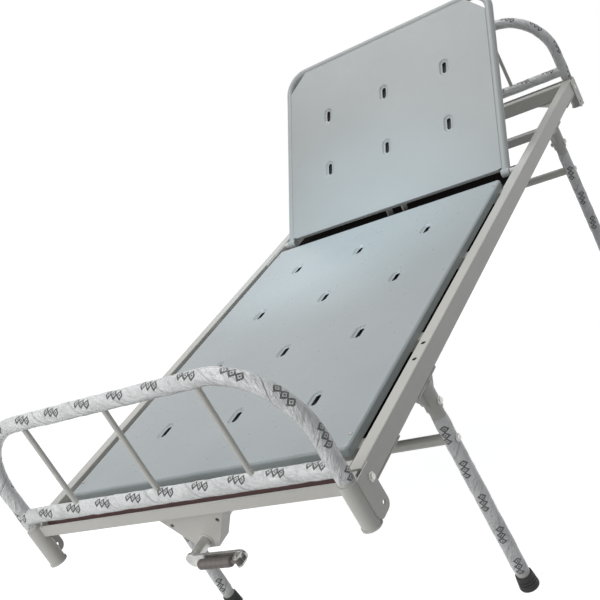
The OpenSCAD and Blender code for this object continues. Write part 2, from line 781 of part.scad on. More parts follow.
module back_sheet_outline() polygon([
    [-sheet_half_w, back_sheet_start],
    [sheet_half_w, back_sheet_start],
    [sheet_half_w, sheet_end - back_corner_cut],
    [sheet_half_w - back_corner_cut, sheet_end],
    [-sheet_half_w + back_corner_cut, sheet_end],
    [-sheet_half_w, sheet_end - back_corner_cut]]);

module back_slot_places()
    for (i = [-1, 0, 1], j = [0, 1])
        translate([i * slot_pitch_x, back_slot_first + j * back_slot_pitch]) children();

module backrest_panel() color(back_grey) raised() {
    translate([0, 0, sheet_low]) linear_extrude(back_sheet_t) difference() {
        back_sheet_outline();
        back_slot_places() stadium(dimple_len, dimple_w / 2);
    }
    translate([-sheet_half_w + tube_seat, back_sheet_start, sheet_top - back_lip])
        cube([2 * (sheet_half_w - tube_seat), back_sheet_t, back_lip]);
    translate([0, 0, sheet_top]) back_slot_places() dimple(back_sheet_t);
}

module backrest_ribs() color(back_grey) raised() {
    rib_start = back_cross_low + back_cross / 2 + rib_end_gap;
    rib_break = back_cross_high - back_cross / 2 - rib_end_gap;
    rib_again = back_cross_high + back_cross / 2 + rib_end_gap;
    rib_end = sheet_end - rib_end_gap;
    for (i = [-1, 0, 1], span = [[rib_start, rib_break], [rib_again, rib_end]])
        translate([i * slot_pitch_x, span[1], sheet_low - back_cross]) rotate([90, 0, 0])
            linear_extrude(span[1] - span[0]) mirror([0, 1])
                channel_outline(back_rib_w, back_cross, back_sheet_t, deck_bend);
}

// Lift lever, nut and screw

module cheek_outline() {
    cheek_top = sheet_low - back_cross;
    // Outline in the backrest's plane: x is the distance from the hinge, y the height
    rotate([0, 0, -lever_mid_angle]) difference() {
        union() {
            translate([0, -(slot_near + slot_far) / 2])
                stadium(slot_far - slot_near + 2 * cheek_r, cheek_r);
            rotate([0, 0, lever_mid_angle]) polygon([
                [back_cross_low - back_cross / 2, cheek_top],
                [back_cross_low + back_cross * 2, cheek_top],
                [back_cross_low + back_cross * 2, cheek_top - cheek_rim],
                [slot_far * sin(-lever_mid_angle) + fork_r, -slot_far * cos(lever_mid_angle)],
                [slot_near * sin(-lever_mid_angle) - fork_r,
                    -slot_near * cos(lever_mid_angle)]]);
        }
        translate([0, -(slot_near + slot_far) / 2])
            stadium(slot_far - slot_near + 2 * fork_r, fork_r);
    }
}

module lift_lever() color(steel) raised()
    for (s = [-1, 1]) translate([s * cheek_x - cheek_t / 2, 0, 0]) rotate([90, 0, 90])
        linear_extrude(cheek_t) cheek_outline();

module lift_nut() color(zinc) translate([0, nut_y, screw_z]) difference() {
    union() {
        translate([-nut_w / 2, -nut_len / 2, -nut_h / 2]) cube([nut_w, nut_len, nut_h]);
        rod_x(-trunnion_reach, trunnion_reach, trunnion_d / 2);
    }
    rod_y(-nut_len, nut_len, screw_d / 2 + run_fit);
}

module screw_hanger() color(cream) difference() {
    union() {
        translate([-screw_plate_w / 2, screw_plate_y, screw_z - bush_od / 2])
            cube([screw_plate_w, screw_plate_t, flange_bottom - screw_z + bush_od / 2]);
        translate([0, 0, screw_z])
            rod_y(screw_plate_y - screw_bush_len / 2, screw_plate_y + screw_bush_len / 2,
                bush_od / 2);
    }
    translate([0, 0, screw_z])
        rod_y(screw_plate_y - screw_bush_len, screw_plate_y + screw_bush_len,
            screw_d / 2 + run_fit);
}

module lead_screw() color(steel) translate([0, 0, screw_z]) {
    rod_y(screw_foot_y, screw_head_y, screw_d / 2);
    rod_y(screw_head_y - collar_len, screw_head_y, collar_d / 2);
}

module crank_shaft() color(zinc) translate([0, 0, screw_z]) difference() {
    rod_y(shaft_end_y, screw_foot_y + shaft_overlap, shaft_d / 2);
    rod_y(screw_foot_y, screw_foot_y + shaft_overlap + over, shaft_bore_d / 2);
}

// A tapered pan of bent sheet that hangs from the foot end rail and holds the shaft's bush
module hanger_outline(inset) {
    low = screw_z - bush_od / 2 + inset;
    polygon([
        [-hanger_top_w / 2 + inset, rail_top - rail_h], [hanger_top_w / 2 - inset, rail_top - rail_h],
        [hanger_low_w / 2 - inset, low], [-hanger_low_w / 2 + inset, low]]);
}

module crank_hanger() color(cream) difference() {
    union() {
        translate([0, -half_l + hanger_depth, 0]) rotate([90, 0, 0])
            linear_extrude(hanger_depth) difference() {
                hanger_outline(0);
                hanger_outline(hanger_t);
            }
        translate([0, -half_l + hanger_t, 0]) rotate([90, 0, 0])
            linear_extrude(hanger_t) hanger_outline(0);
        translate([0, 0, screw_z]) rod_y(bush_foot_y, bush_foot_y + bush_len, bush_od / 2);
    }
    translate([0, 0, screw_z])
        rod_y(bush_foot_y - over, bush_foot_y + bush_len + over, shaft_d / 2 + run_fit);
    for (s = [-1, 1])
        translate([s * hanger_top_w / 3, 0, (screw_z + rail_top - rail_h) / 2 + bush_od / 3])
            rod_y(-half_l - over, -half_l + hanger_t + over, hanger_hole_d / 2);
}

// Crank, drawn with its arm towards +X and its grip folded back over the arm

module crank_arm() color(zinc) translate([0, 0, screw_z]) {
    translate([0, arm_back_y, 0]) rotate([90, 0, 0]) linear_extrude(arm_t) {
        translate([0, -arm_w / 2]) square([arm_len, arm_w]);
        circle(boss_d / 2);
        translate([arm_len, 0]) circle(arm_w / 2);
    }
    for (s = [-1, 1]) translate([arm_len, 0, s * (grip_eye_h / 2 + lug_t / 2 + slip_fit)]) {
        translate([-grip_eye_d / 2, grip_y, -lug_t / 2])
            cube([grip_eye_d, arm_front_y - grip_y, lug_t]);
        translate([0, grip_y, 0]) rod_z(-lug_t / 2, lug_t / 2, grip_eye_d / 2);
    }
    translate([arm_len, grip_y, 0]) rod_z(-grip_eye_h / 2 - lug_t - grip_pin_d / 3,
        grip_eye_h / 2 + lug_t + grip_pin_d / 3, grip_pin_d / 2);
}

module crank_grip() color(grip_grey) translate([arm_len, grip_y, screw_z]) difference() {
    union() {
        rod_z(-grip_eye_h / 2, grip_eye_h / 2, grip_eye_d / 2);
        rod_x(-grip_eye_d / 2 - grip_neck_len - over, 0, grip_neck_d / 2);
        translate([-grip_eye_d / 2 - grip_neck_len, 0, 0]) rotate([0, -90, 0])
            grip_body();
    }
    rod_z(-grip_eye_h, grip_eye_h, grip_pin_d / 2 + run_fit);
}

// A grip with rounded shoulders, along +Z
module grip_body() {
    shoulder = grip_d / 4;
    cylinder(h = shoulder, d1 = grip_d - shoulder, d2 = grip_d);
    translate([0, 0, shoulder]) cylinder(h = grip_len - 2 * shoulder, d = grip_d);
    translate([0, 0, grip_len - shoulder])
        cylinder(h = shoulder, d1 = grip_d, d2 = grip_d - shoulder);
}

placed() side_rail(LEFT);  // side_rail_left
placed() side_rail(RIGHT);  // side_rail_right
placed() end_rail(FOOT);  // end_rail_foot
placed() end_rail(HEAD);  // end_rail_head
placed() cross_members();
placed() corner_gussets();
placed() corner_plates(FOOT);  // corner_plates_foot
placed() corner_plates(HEAD);  // corner_plates_head
placed() corner_socket(LEFT, FOOT);  // corner_socket_foot_left
placed() corner_socket(RIGHT, FOOT);  // corner_socket_foot_right
placed() corner_socket(LEFT, HEAD);  // corner_socket_head_left
placed() corner_socket(RIGHT, HEAD);  // corner_socket_head_right
placed() socket_caps();
placed() corner_bolts();
placed() tie_bar(FOOT);  // foot_tie_bar
placed() tie_bar(HEAD);  // head_tie_bar
placed() bow_hoop(FOOT);  // foot_bow_hoop
placed() bow_rail(FOOT);  // foot_bow_rail
placed() bow_bars(FOOT);  // foot_bow_bars
placed() bow_hoop(HEAD);  // head_bow_hoop
placed() bow_rail(HEAD);  // head_bow_rail
placed() bow_bars(HEAD);  // head_bow_bars
placed() hoop_film(FOOT);  // foot_hoop_film
placed() rail_film(FOOT);  // foot_rail_film
placed() hoop_film(HEAD);  // head_hoop_film
placed() rail_film(HEAD);  // head_rail_film
placed() leg(LEFT, FOOT);  // leg_foot_left
placed() leg(RIGHT, FOOT);  // leg_foot_right
placed() leg(LEFT, HEAD);  // leg_head_left
placed() leg(RIGHT, HEAD);  // leg_head_right
placed() leg_bracket(LEFT, FOOT);  // leg_bracket_foot_left
placed() leg_bracket(RIGHT, FOOT);  // leg_bracket_foot_right
placed() leg_bracket(LEFT, HEAD);  // leg_bracket_head_left
placed() leg_bracket(RIGHT, HEAD);  // leg_bracket_head_right
placed() ferrule(LEFT, FOOT);  // ferrule_foot_left
placed() ferrule(RIGHT, FOOT);  // ferrule_foot_right
placed() ferrule(LEFT, HEAD);  // ferrule_head_left
placed() ferrule(RIGHT, HEAD);  // ferrule_head_right
placed() leg_films();
placed() stretcher(FOOT);  // stretcher_foot
placed() stretcher(HEAD);  // stretcher_head
placed() leg_bolts();
placed() deck_panel();
placed() deck_stiffeners();
placed() hinge_bracket(LEFT);  // hinge_bracket_left
placed() hinge_bracket(RIGHT);  // hinge_bracket_right
placed() hinge_pins();
placed() crank_hanger();
placed() screw_hanger();
placed() backrest_frame();
placed() backrest_panel();
placed() backrest_ribs();
placed() lift_lever();
placed() lift_nut();
placed() crank_shaft();
placed() lead_screw();
placed() crank_arm();
placed() crank_grip();
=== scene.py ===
"""Hospital bed: the finish of every piece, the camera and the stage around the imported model.

Metres. X runs across the bed, Y from foot to head and Z up; Z = 0 is the floor.
"""

import math

import bmesh
import bpy
from bpy.props import FloatProperty, FloatVectorProperty, IntProperty, PointerProperty
from mathutils import Matrix, Vector, noise


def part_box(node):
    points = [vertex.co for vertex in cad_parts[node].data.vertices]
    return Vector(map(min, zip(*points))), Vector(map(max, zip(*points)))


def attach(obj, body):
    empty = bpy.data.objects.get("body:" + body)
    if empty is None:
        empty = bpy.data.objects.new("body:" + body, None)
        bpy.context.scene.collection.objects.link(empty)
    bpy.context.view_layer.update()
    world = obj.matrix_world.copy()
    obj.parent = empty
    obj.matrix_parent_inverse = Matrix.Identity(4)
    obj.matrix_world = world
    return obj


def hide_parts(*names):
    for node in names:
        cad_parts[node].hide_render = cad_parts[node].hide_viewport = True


bl_info = {
    "name": "Hospital bed finish",
    "version": (1, 0, 0),
    "blender": (4, 5, 0),
    "location": "View3D > Sidebar > Bed",
    "description": "Pressed sheets, packing film, fasteners and finishes of a crank bed",
    "category": "Object",
}

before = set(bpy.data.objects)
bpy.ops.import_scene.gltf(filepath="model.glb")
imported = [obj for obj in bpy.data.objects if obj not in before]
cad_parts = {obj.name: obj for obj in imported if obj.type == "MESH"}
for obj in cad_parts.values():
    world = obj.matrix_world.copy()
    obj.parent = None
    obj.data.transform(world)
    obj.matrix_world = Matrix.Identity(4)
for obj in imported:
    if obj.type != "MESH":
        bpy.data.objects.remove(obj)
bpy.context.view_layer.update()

LEFT, RIGHT = -1, 1
ENDS = ("foot", "head")
SIDES = ("left", "right")
# Corners of a square, in order round it
SQUARE = ((-1, -1), (1, -1), (1, 1), (-1, 1))
MM = 0.001


def middle(node):
    """The middle of a node's box."""
    low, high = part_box(node)
    return (low + high) / 2


def span(node):
    """The size of a node's box."""
    low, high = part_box(node)
    return high - low


PIVOT = middle("hinge_pins")
POST_X = (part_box("corner_socket_foot_right")[0].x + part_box("corner_socket_foot_right")[1].x) / 2
BOW_Y = {end: middle(f"{end}_bow_rail").y for end in ENDS}
BOW_RAIL_Z = middle("foot_bow_rail").z
BOW_R = span("foot_bow_rail").z / 2
BOW_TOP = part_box("foot_bow_hoop")[1].z - BOW_R
FILM_R = span("foot_rail_film").z / 2
LEG_X = middle("leg_foot_right").x
LEG_R = span("leg_foot_right").x / 2
SCREW_Z = middle("lead_screw").z


# Sizes and colours that a user would change


def length(name, description, default):
    return FloatProperty(name=name, description=description, default=default, unit="LENGTH",
                         subtype="DISTANCE", min=0)


def colour(name, description, default):
    return FloatVectorProperty(name=name, description=description, default=default, size=3,
                               subtype="COLOR", min=0, max=1)


class PressedSheetSizes(bpy.types.PropertyGroup):
    """The deck, the backrest sheet and their slots"""

    slot_width: length("Slot width", "Width of a slot", 0.013)
    slot_length: length("Slot length", "Length of a slot", 0.038)
    dimple_width: length("Dimple width", "Width of the dish pressed round a slot", 0.034)
    dimple_depth: length("Dimple depth", "Depth of the dish", 0.004)
    slot_pitch_x: length("Slot pitch", "Distance between slots across the bed", 0.222)
    deck_slot_end: length("Deck slot end", "Distance of the outer slots from the deck's ends", 0.2)
    deck_rows: IntProperty(name="Deck rows", description="Rows of slots in the deck", default=4,
                           min=2)
    deck_thickness: length("Deck thickness", "Thickness of the deck sheet", 0.0015)
    deck_bend: length("Deck bend", "Outside bend radius of the deck's edges", 0.007)
    deck_corner: length("Deck corner", "Outside radius of the deck's corners", 0.010)
    back_slot_first: length("First backrest slots", "Distance of the lower slots from the hinge",
                            0.22)
    back_slot_pitch: length("Backrest slot pitch", "Distance between the two slot rows", 0.2)
    back_thickness: length("Backrest thickness", "Thickness of the backrest sheet", 0.0012)
    back_start: length("Backrest start", "Distance of the sheet's lower edge from the hinge", 0.010)
    back_lip: length("Backrest lip", "Height of the sheet's turned-down lower edge", 0.014)
    back_cut: length("Backrest corner cut", "Size of the cuts at the upper corners", 0.064)
    rivet: length("Rivet", "Diameter of the rivet heads at the deck's corners", 0.009)
    rivet_side: length("Rivet side gap", "Distance of the rivets from the deck's sides", 0.011)
    rivet_end: length("Rivet end gap", "Distance of the rivets from the deck's ends", 0.043)


class FilmSizes(bpy.types.PropertyGroup):
    """The packing film on the bows and legs"""

    wrap_pitch: length("Wrap pitch", "Advance of the film strip in one turn", 0.115)
    wrap_step: length("Wrap step", "Height of the strip's edge", 0.0008)
    crease: length("Crease", "Height of the film's creases", 0.0016)
    mark_pitch: length("Mark pitch", "Distance between printed marks along a tube", 0.092)
    step: length("Mesh step", "Distance between the rings of a film's mesh", 0.004)
    hoop_bend: length("Hoop bend", "Bend radius of the bows' hoops at the centreline", 0.170)


class BedFinishes(bpy.types.PropertyGroup):
    """Colours of the bed's materials"""

    cream: colour("Frame paint", "Powder coat of the tubes", (0.56, 0.55, 0.51))
    deck: colour("Deck paint", "Paint of the deck", (0.38, 0.42, 0.425))
    back: colour("Backrest paint", "Paint of the backrest", (0.40, 0.42, 0.415))
    film: colour("Film", "Packing film", (0.74, 0.75, 0.745))
    ink: colour("Ink", "Marks on the packing film", (0.022, 0.024, 0.026))
    rubber: colour("Rubber", "Ferrules", (0.018, 0.018, 0.019))
    plastic: colour("Caps", "Socket caps", (0.62, 0.61, 0.58))
    zinc: colour("Zinc", "Plated steel", (0.60, 0.60, 0.58))
    steel: colour("Steel", "Bare steel", (0.36, 0.35, 0.34))
    grip: colour("Grip", "Plastic of the crank's grip", (0.15, 0.13, 0.12))


class BedSettings(bpy.types.PropertyGroup):
    """All settings of the bed"""

    sheets: PointerProperty(type=PressedSheetSizes)
    films: PointerProperty(type=FilmSizes)
    finishes: PointerProperty(type=BedFinishes)


def settings():
    return bpy.context.scene.hospital_bed


# Shader arithmetic


class Term:
    """A socket that can be used in arithmetic; each operation adds a Math node."""

    def __init__(self, shader, socket):
        self.shader, self.socket = shader, socket

    def other(self, output):
        """Another output of the same node."""
        return Term(self.shader, self.socket.node.outputs[output])

    def _math(self, operation, *operands):
        return self.shader.node("ShaderNodeMath", {"operation": operation},
                                dict(enumerate(operands)))

    def __add__(self, other):
        return self._math("ADD", self, other)

    def __sub__(self, other):
        return self._math("SUBTRACT", self, other)

    def __mul__(self, other):
        return self._math("MULTIPLY", self, other)

    def __truediv__(self, other):
        return self._math("DIVIDE", self, other)

    def __abs__(self):
        return self._math("ABSOLUTE", self)

    def __lt__(self, other):
        return self._math("LESS_THAN", self, other)

    def __gt__(self, other):
        return self._math("GREATER_THAN", self, other)

    def __mod__(self, other):
        return self._math("FLOORED_MODULO", self, other)


class Shader:
    """The nodes of a material or a world, and the one method that adds them."""

    def __init__(self, owner):
        owner.use_nodes = True
        self.owner, self.tree = owner, owner.node_tree
        self.tree.nodes.clear()

    def node(self, kind, options=None, inputs=None, output=0):
        added = self.tree.nodes.new(kind)
        for key, value in (options or {}).items():
            setattr(added, key, value)
        for key, value in (inputs or {}).items():
            if isinstance(value, Term):
                self.tree.links.new(value.socket, added.inputs[key])
            else:
                added.inputs[key].default_value = value
        return Term(self, added.outputs[output])

    def place(self):
        """The place on the piece at rest, in metres."""
        return self.node("ShaderNodeTexCoord", output="Object")

    def noise(self, place, scale, detail=2.0, roughness=0.5, distortion=0.0):
        return self.node("ShaderNodeTexNoise", {"noise_dimensions": "3D"},
                         {"Vector": place, "Scale": scale, "Detail": detail,
                          "Roughness": roughness, "Distortion": distortion})

    def stretched(self, place, factors):
        return self.node("ShaderNodeVectorMath", {"operation": "MULTIPLY"}, {0: place, 1: factors})

    def ramp(self, value, low, high, start=0.0, end=1.0):
        """value mapped from low..high to start..end, and clamped."""
        return self.node("ShaderNodeMapRange", {"clamp": True},
                         {0: value, 1: low, 2: high, 3: start, 4: end})

    def blend(self, factor, first, second):
        def rgba(shade):
            return shade if isinstance(shade, Term) else (*shade, 1)

        return self.node("ShaderNodeMix", {"data_type": "RGBA"},
                         {0: factor, 6: rgba(first), 7: rgba(second)}, output=2)

    def bump(self, height, distance, strength=1.0, normal=None):
        inputs = {"Height": height, "Distance": distance, "Strength": strength}
        if normal is not None:
            inputs["Normal"] = normal
        return self.node("ShaderNodeBump", None, inputs)

    def bevel(self, radius):
        """A normal that rounds the edges of a mesh."""
        return self.node("ShaderNodeBevel", {"samples": 4}, {"Radius": radius})

    def surface(self, **inputs):
        """Finishes the material with a Principled BSDF; a name's underscores stand for spaces."""
        named = {key.replace("_", " "): value for key, value in inputs.items()}
        self.finish(self.node("ShaderNodeBsdfPrincipled", None, named))
        return self.owner

    def finish(self, shade, kind="Material"):
        output = self.tree.nodes.new(f"ShaderNodeOutput{kind}")
        self.tree.links.new(shade.socket, output.inputs["Surface"])


def darker(shade, factor):
    return tuple(channel * factor for channel in shade)


def paint(name, shade, peel, wave, gloss, edge):
    """Powder coat: fine peel, slow unevenness of the sheet under it, faint dust and scuffs."""
    s = Shader(bpy.data.materials.new(name))
    place = s.place()
    cloud = s.noise(place, scale=5.0, detail=3.0)
    dust = s.noise(place, scale=60.0, detail=6.0, roughness=0.65)
    rubbed = s.noise(s.stretched(place, (40.0, 9.0, 40.0)), scale=6.0, detail=4.0, roughness=0.6)
    scuff = s.ramp(rubbed, 0.66, 0.74)
    tone = s.blend(s.ramp(cloud, 0.35, 0.65), darker(shade, 0.955), shade)
    tone = s.blend(s.ramp(dust, 0.58, 0.82, end=0.20), tone, darker(shade, 0.82))
    tone = s.blend(scuff * 0.05, tone, darker(shade, 0.62))
    rough = s.ramp(dust, 0.3, 0.7, gloss, gloss + 0.12) + scuff * 0.15
    sag = s.noise(place, scale=2.2, detail=1.0) * wave
    height = sag + s.noise(place, scale=650.0, detail=2.0) * peel
    return s.surface(Base_Color=tone, Roughness=rough, Coat_Weight=0.12, Coat_Roughness=0.18,
                     Normal=s.bump(height, 1.0, 1.0, s.bevel(edge)))


def metal(name, shade, rough, streak, edge, grease=0.0):
    """Plated or bare steel with fine drawn lines, dull patches and traces of grease."""
    s = Shader(bpy.data.materials.new(name))
    place = s.place()
    lines = s.noise(s.stretched(place, streak), scale=30.0, detail=5.0, roughness=0.6)
    patch = s.noise(place, scale=45.0, detail=4.0, roughness=0.6)
    tone = s.blend(s.ramp(patch, 0.40, 0.70), shade, darker(shade, 0.72))
    tone = s.blend(s.ramp(patch, 0.50, 0.62, end=grease), tone, darker(shade, 0.22))
    return s.surface(Base_Color=tone, Metallic=0.9,
                     Roughness=s.ramp(lines, 0.3, 0.7, rough, rough + 0.2),
                     Normal=s.bump(lines + patch * 0.6, 0.00012, 0.5, s.bevel(edge)))


def moulded(name, shade, rough, pebble, scale):
    """Moulded rubber or plastic with a fine pebbled skin."""
    s = Shader(bpy.data.materials.new(name))
    place = s.place()
    skin = s.noise(place, scale, detail=3.0, roughness=0.55)
    smear = s.noise(place, scale=35.0, detail=4.0, roughness=0.6)
    dusty = tuple(channel * 0.7 + 0.06 for channel in shade)
    tone = s.blend(s.ramp(smear, 0.45, 0.75, end=0.6), shade, dusty)
    return s.surface(Base_Color=tone, Roughness=s.ramp(smear, 0.3, 0.7, rough, rough + 0.18),
                     Normal=s.bump(skin, pebble, 0.7))


def film_material(name, shade, ink, pitch, turn, wrap):
    """Thin white film wound in a strip, with a generic printed chain of lozenges and a painted
    shade line along the strip's edge.

    The UV map holds metres: u along the tube, v round it."""
    slant, link, links, link_height = math.radians(14), 0.0155, 3, 0.0098
    outline, hollow, heart = 1.18, 0.56, 0.30
    column_shift = 0.012
    s = Shader(bpy.data.materials.new(name))
    along = s.node("ShaderNodeSeparateXYZ", None, {0: s.node("ShaderNodeTexCoord", output="UV")})
    around = along.other(1)
    column = s.node("ShaderNodeMath", {"operation": "FLOOR"}, {0: along / pitch})
    x = (along % pitch) - pitch / 2
    y = ((around + column * (turn * column_shift) + turn / 4) % (turn / 2)) - turn / 4
    run = x * math.cos(slant) + y * math.sin(slant)
    rise = y * math.cos(slant) - x * math.sin(slant)
    inside = abs(run) < link * links / 2
    reach = (abs(((run + link * links / 2) % link) - link / 2) / (link / 2)
             + abs(rise) / link_height)
    mark = inside * ((reach < outline) - (reach < hollow) + (reach < heart))
    place = s.place()
    worn = s.ramp(s.noise(place, scale=420.0, detail=3.0, roughness=0.6), 0.28, 0.42, 0.55, 1.0)
    layers = s.noise(place, scale=26.0, detail=4.0, roughness=0.6)
    # The strip's edge: a painted shade line in the colour, and a small step in the bump
    seam = (along / wrap - around / turn) % 1.0
    edge = s.ramp(abs(seam - 0.5), 0.470, 0.497)
    tone = s.blend(s.ramp(layers, 0.45, 0.72, end=0.8), shade, darker(shade, 0.74))
    # Painted shade along the strip's edge
    tone = s.blend(edge * 0.35, tone, darker(shade, 0.45))
    tone = s.blend(mark * worn * 0.96, tone, ink)
    strip = s.node("ShaderNodeCombineXYZ", None, {0: along * 26.0 + around * 30.0,
                                                  1: around * 95.0 - along * 70.0, 2: 0.0})
    crease = s.noise(strip, scale=1.0, detail=4.0, roughness=0.55, distortion=0.8)
    crinkle = s.noise(place, scale=130.0, detail=5.0, roughness=0.62, distortion=1.2)
    normal = s.bump(crinkle, 0.0012, 0.5, s.bump(crease - edge * 0.25, 0.0085, 0.85))
    return s.surface(Base_Color=tone, Roughness=s.ramp(crinkle, 0.3, 0.7, 0.20, 0.38),
                     Normal=normal, Coat_Weight=0.45, Coat_Roughness=0.10)


MATERIALS = {}


def make_materials():
    """All materials of the bed, by the record's slot names."""
    f, films = settings().finishes, settings().films
    turn = 2 * math.pi * FILM_R
    MATERIALS.update({
        "cream_paint": paint("cream_paint", tuple(f.cream), peel=0.00002, wave=0.0006, gloss=0.34,
                             edge=0.0012),
        "deck_paint": paint("deck_paint", tuple(f.deck), peel=0.00002, wave=0.0030, gloss=0.26,
                            edge=0.0008),
        "backrest_paint": paint("backrest_paint", tuple(f.back), peel=0.00002, wave=0.0020,
                                gloss=0.36, edge=0.0008),
        "packing_film": film_material("packing_film", tuple(f.film), tuple(f.ink),
                                      films.mark_pitch, turn, films.wrap_pitch),
        "black_rubber": moulded("black_rubber", tuple(f.rubber), rough=0.55, pebble=0.00010,
                                scale=900.0),
        "pale_plastic": moulded("pale_plastic", tuple(f.plastic), rough=0.42, pebble=0.00005,
                                scale=700.0),
        "zinc_plate": metal("zinc_plate", tuple(f.zinc), rough=0.28, streak=(1.0, 0.12, 1.0),
                            edge=0.0006),
        "bare_steel": metal("bare_steel", tuple(f.steel), rough=0.34, streak=(1.0, 0.2, 1.0),
                            edge=0.0006, grease=0.4),
        "grip_plastic": moulded("grip_plastic", tuple(f.grip), rough=0.40, pebble=0.00008,
                                scale=800.0),
    })


# Mesh helpers


def add_piece(name, bm, slot, body, replaced=()):
    """Turns a bmesh into a piece that rides on a body and takes a slot's material."""
    bmesh.ops.recalc_face_normals(bm, faces=bm.faces)
    mesh = bpy.data.meshes.new(name)
    bm.to_mesh(mesh)
    bm.free()
    for polygon in mesh.polygons:
        polygon.use_smooth = True
    mesh.materials.append(MATERIALS[slot])
    piece = bpy.data.objects.new(name, mesh)
    bpy.context.scene.collection.objects.link(piece)
    if replaced:
        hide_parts(*replaced)
    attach(piece, body)
    return piece


def sharpen(piece, degrees=35):
    """Keeps edges crisp above an angle, and smooth below it."""
    piece.data.set_sharp_from_angle(angle=math.radians(degrees))


def bridge(bm, first, second, closed=True):
    """Quads between two rows of vertices of the same count."""
    count = len(first)
    return [bm.faces.new((first[i], first[(i + 1) % count], second[(i + 1) % count], second[i]))
            for i in range(count if closed else count - 1)]


def lathe(bm, profile, matrix, segments=40):
    """Revolves (radius, height) points round Z; a zero radius closes the form."""
    rows = []
    for radius, height in profile:
        if radius < 1e-9:
            rows.append([bm.verts.new(matrix @ Vector((0, 0, height)))])
        else:
            ring = []
            for i in range(segments):
                a = 2 * math.pi * i / segments
                spot = Vector((radius * math.cos(a), radius * math.sin(a), height))
                ring.append(bm.verts.new(matrix @ spot))
            rows.append(ring)
    for first, second in zip(rows, rows[1:]):
        if len(first) == len(second):
            bridge(bm, first, second)
        else:
            tip, ring = (first[0], second) if len(first) == 1 else (second[0], first)
            for i, vertex in enumerate(ring):
                bm.faces.new((tip, vertex, ring[(i + 1) % len(ring)]))


def toward(place, direction):
    """A matrix that puts local Z along a direction, at a place."""
    turn = Vector(direction).to_track_quat("Z", "Y").to_matrix().to_4x4()
    return Matrix.Translation(place) @ turn


def walk(points, normal=(0, -1, 0.5)):
    """Distances along a row of points, and a steady pair (normal, side) across it at each."""
    distances, frames = [0.0], []
    normal = Vector(normal)
    for a, b in zip(points, points[1:]):
        distances.append(distances[-1] + (b - a).length)
    for i in range(len(points)):
        ahead, behind = points[min(i + 1, len(points) - 1)], points[max(i - 1, 0)]
        tangent = (ahead - behind).normalized()
        normal = (normal - tangent * normal.dot(tangent)).normalized()
        frames.append((normal, tangent.cross(normal)))
    return distances, frames


def resample(points, step):
    """The same path with points a steady step apart."""
    distances, _ = walk(points)
    count = max(2, round(distances[-1] / step))
    result, segment = [], 0
    for i in range(count + 1):
        target = distances[-1] * i / count
        while segment < len(points) - 2 and distances[segment + 1] < target:
            segment += 1
        share = (target - distances[segment]) / (distances[segment + 1] - distances[segment])
        result.append(points[segment].lerp(points[segment + 1], min(1, max(0, share))))
    return result


def hoop_path(end, arc_steps=24):
    """The centreline of a bow's hoop above its sockets."""
    bend = settings().films.hoop_bend
    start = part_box(f"{end}_hoop_film")[0].z
    points = [Vector((-POST_X, BOW_Y[end], start)), Vector((-POST_X, BOW_Y[end], BOW_TOP - bend))]
    for side, first in ((LEFT, math.pi), (RIGHT, math.pi / 2)):
        for i in range(arc_steps + 1):
            a = first - math.pi / 2 * i / arc_steps
            points.append(Vector((side * (POST_X - bend) + bend * math.cos(a), BOW_Y[end],
                                  BOW_TOP - bend + bend * math.sin(a))))
    points.append(Vector((POST_X, BOW_Y[end], start)))
    return points


# Finish of the modelled parts

# Nodes that aren't painted cream
NODE_SLOTS = {
    "deck_stiffeners": "deck_paint", "backrest_frame": "backrest_paint",
    "backrest_ribs": "backrest_paint", "hinge_pins": "zinc_plate", "lift_nut": "zinc_plate",
    "crank_shaft": "zinc_plate", "crank_arm": "zinc_plate", "lift_lever": "bare_steel",
    "socket_caps": "pale_plastic",
}


class BED_OT_frame_finish(bpy.types.Operator):
    """Gives every modelled node its slot's material"""

    bl_idname = "bed.frame_finish"
    bl_label = "Frame finish"

    def execute(self, context):
        make_materials()
        for name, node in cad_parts.items():
            slot = NODE_SLOTS.get(name, "cream_paint")
            node.data.materials.clear()
            node.data.materials.append(MATERIALS[slot])
        return {"FINISHED"}


# Pressed sheets


def stadium(straight, radius, quarter=8):
    """Points round a slot whose long side runs along Y."""
    points = []
    for centre, first in ((straight / 2, 0.0), (-straight / 2, math.pi)):
        for i in range(2 * quarter + 1):
            a = first + math.pi * i / (2 * quarter)
            points.append(Vector((radius * math.cos(a), centre + radius * math.sin(a), 0)))
    return points


def dimple_profile(sizes):
    """(radius, depth) rows from a slot's rolled edge out to the flat sheet."""
    slot, rim, depth = sizes.slot_width / 2, sizes.dimple_width / 2, sizes.dimple_depth
    floor = rim - depth - (rim - slot) / 4
    rows = [(slot, depth + 1.6 * MM), (slot + 0.15 * MM, depth + 0.8 * MM),
            (slot + 0.6 * MM, depth + 0.25 * MM), (slot + 1.3 * MM, depth),
            (floor - 0.6 * MM, depth)]
    steps = 9
    for i in range(steps + 1):
        t = i / steps
        fall = 1 - t * t * (3 - 2 * t)
        rows.append((floor - 0.2 * MM + (rim + 0.6 * MM - floor) * t, depth * fall))
    rows.append((rim + 2.5 * MM, 0.0))
    return rows


def pressed_sheet(outline, slots, sizes):
    """A flat sheet with pressed slots, face up at z = 0; returns it and its outline's vertices."""
    bm = bmesh.new()
    edges = []
    straight = sizes.slot_length - sizes.slot_width
    for centre in slots:
        rows = []
        for radius, depth in dimple_profile(sizes):
            rows.append([bm.verts.new(Vector((centre[0], centre[1], -depth)) + p)
                         for p in stadium(straight, radius)])
        for first, second in zip(rows, rows[1:]):
            bridge(bm, first, second)
        rim = rows[-1]
        edges += [bm.edges.get((rim[i], rim[(i + 1) % len(rim)])) for i in range(len(rim))]
    border = [bm.verts.new((x, y, 0)) for x, y in outline]
    edges += [bm.edges.new((border[i], border[(i + 1) % len(border)])) for i in range(len(border))]
    bmesh.ops.triangle_fill(bm, edges=edges, use_beauty=True, use_dissolve=False,
                            normal=Vector((0, 0, 1)))
    return bm, border


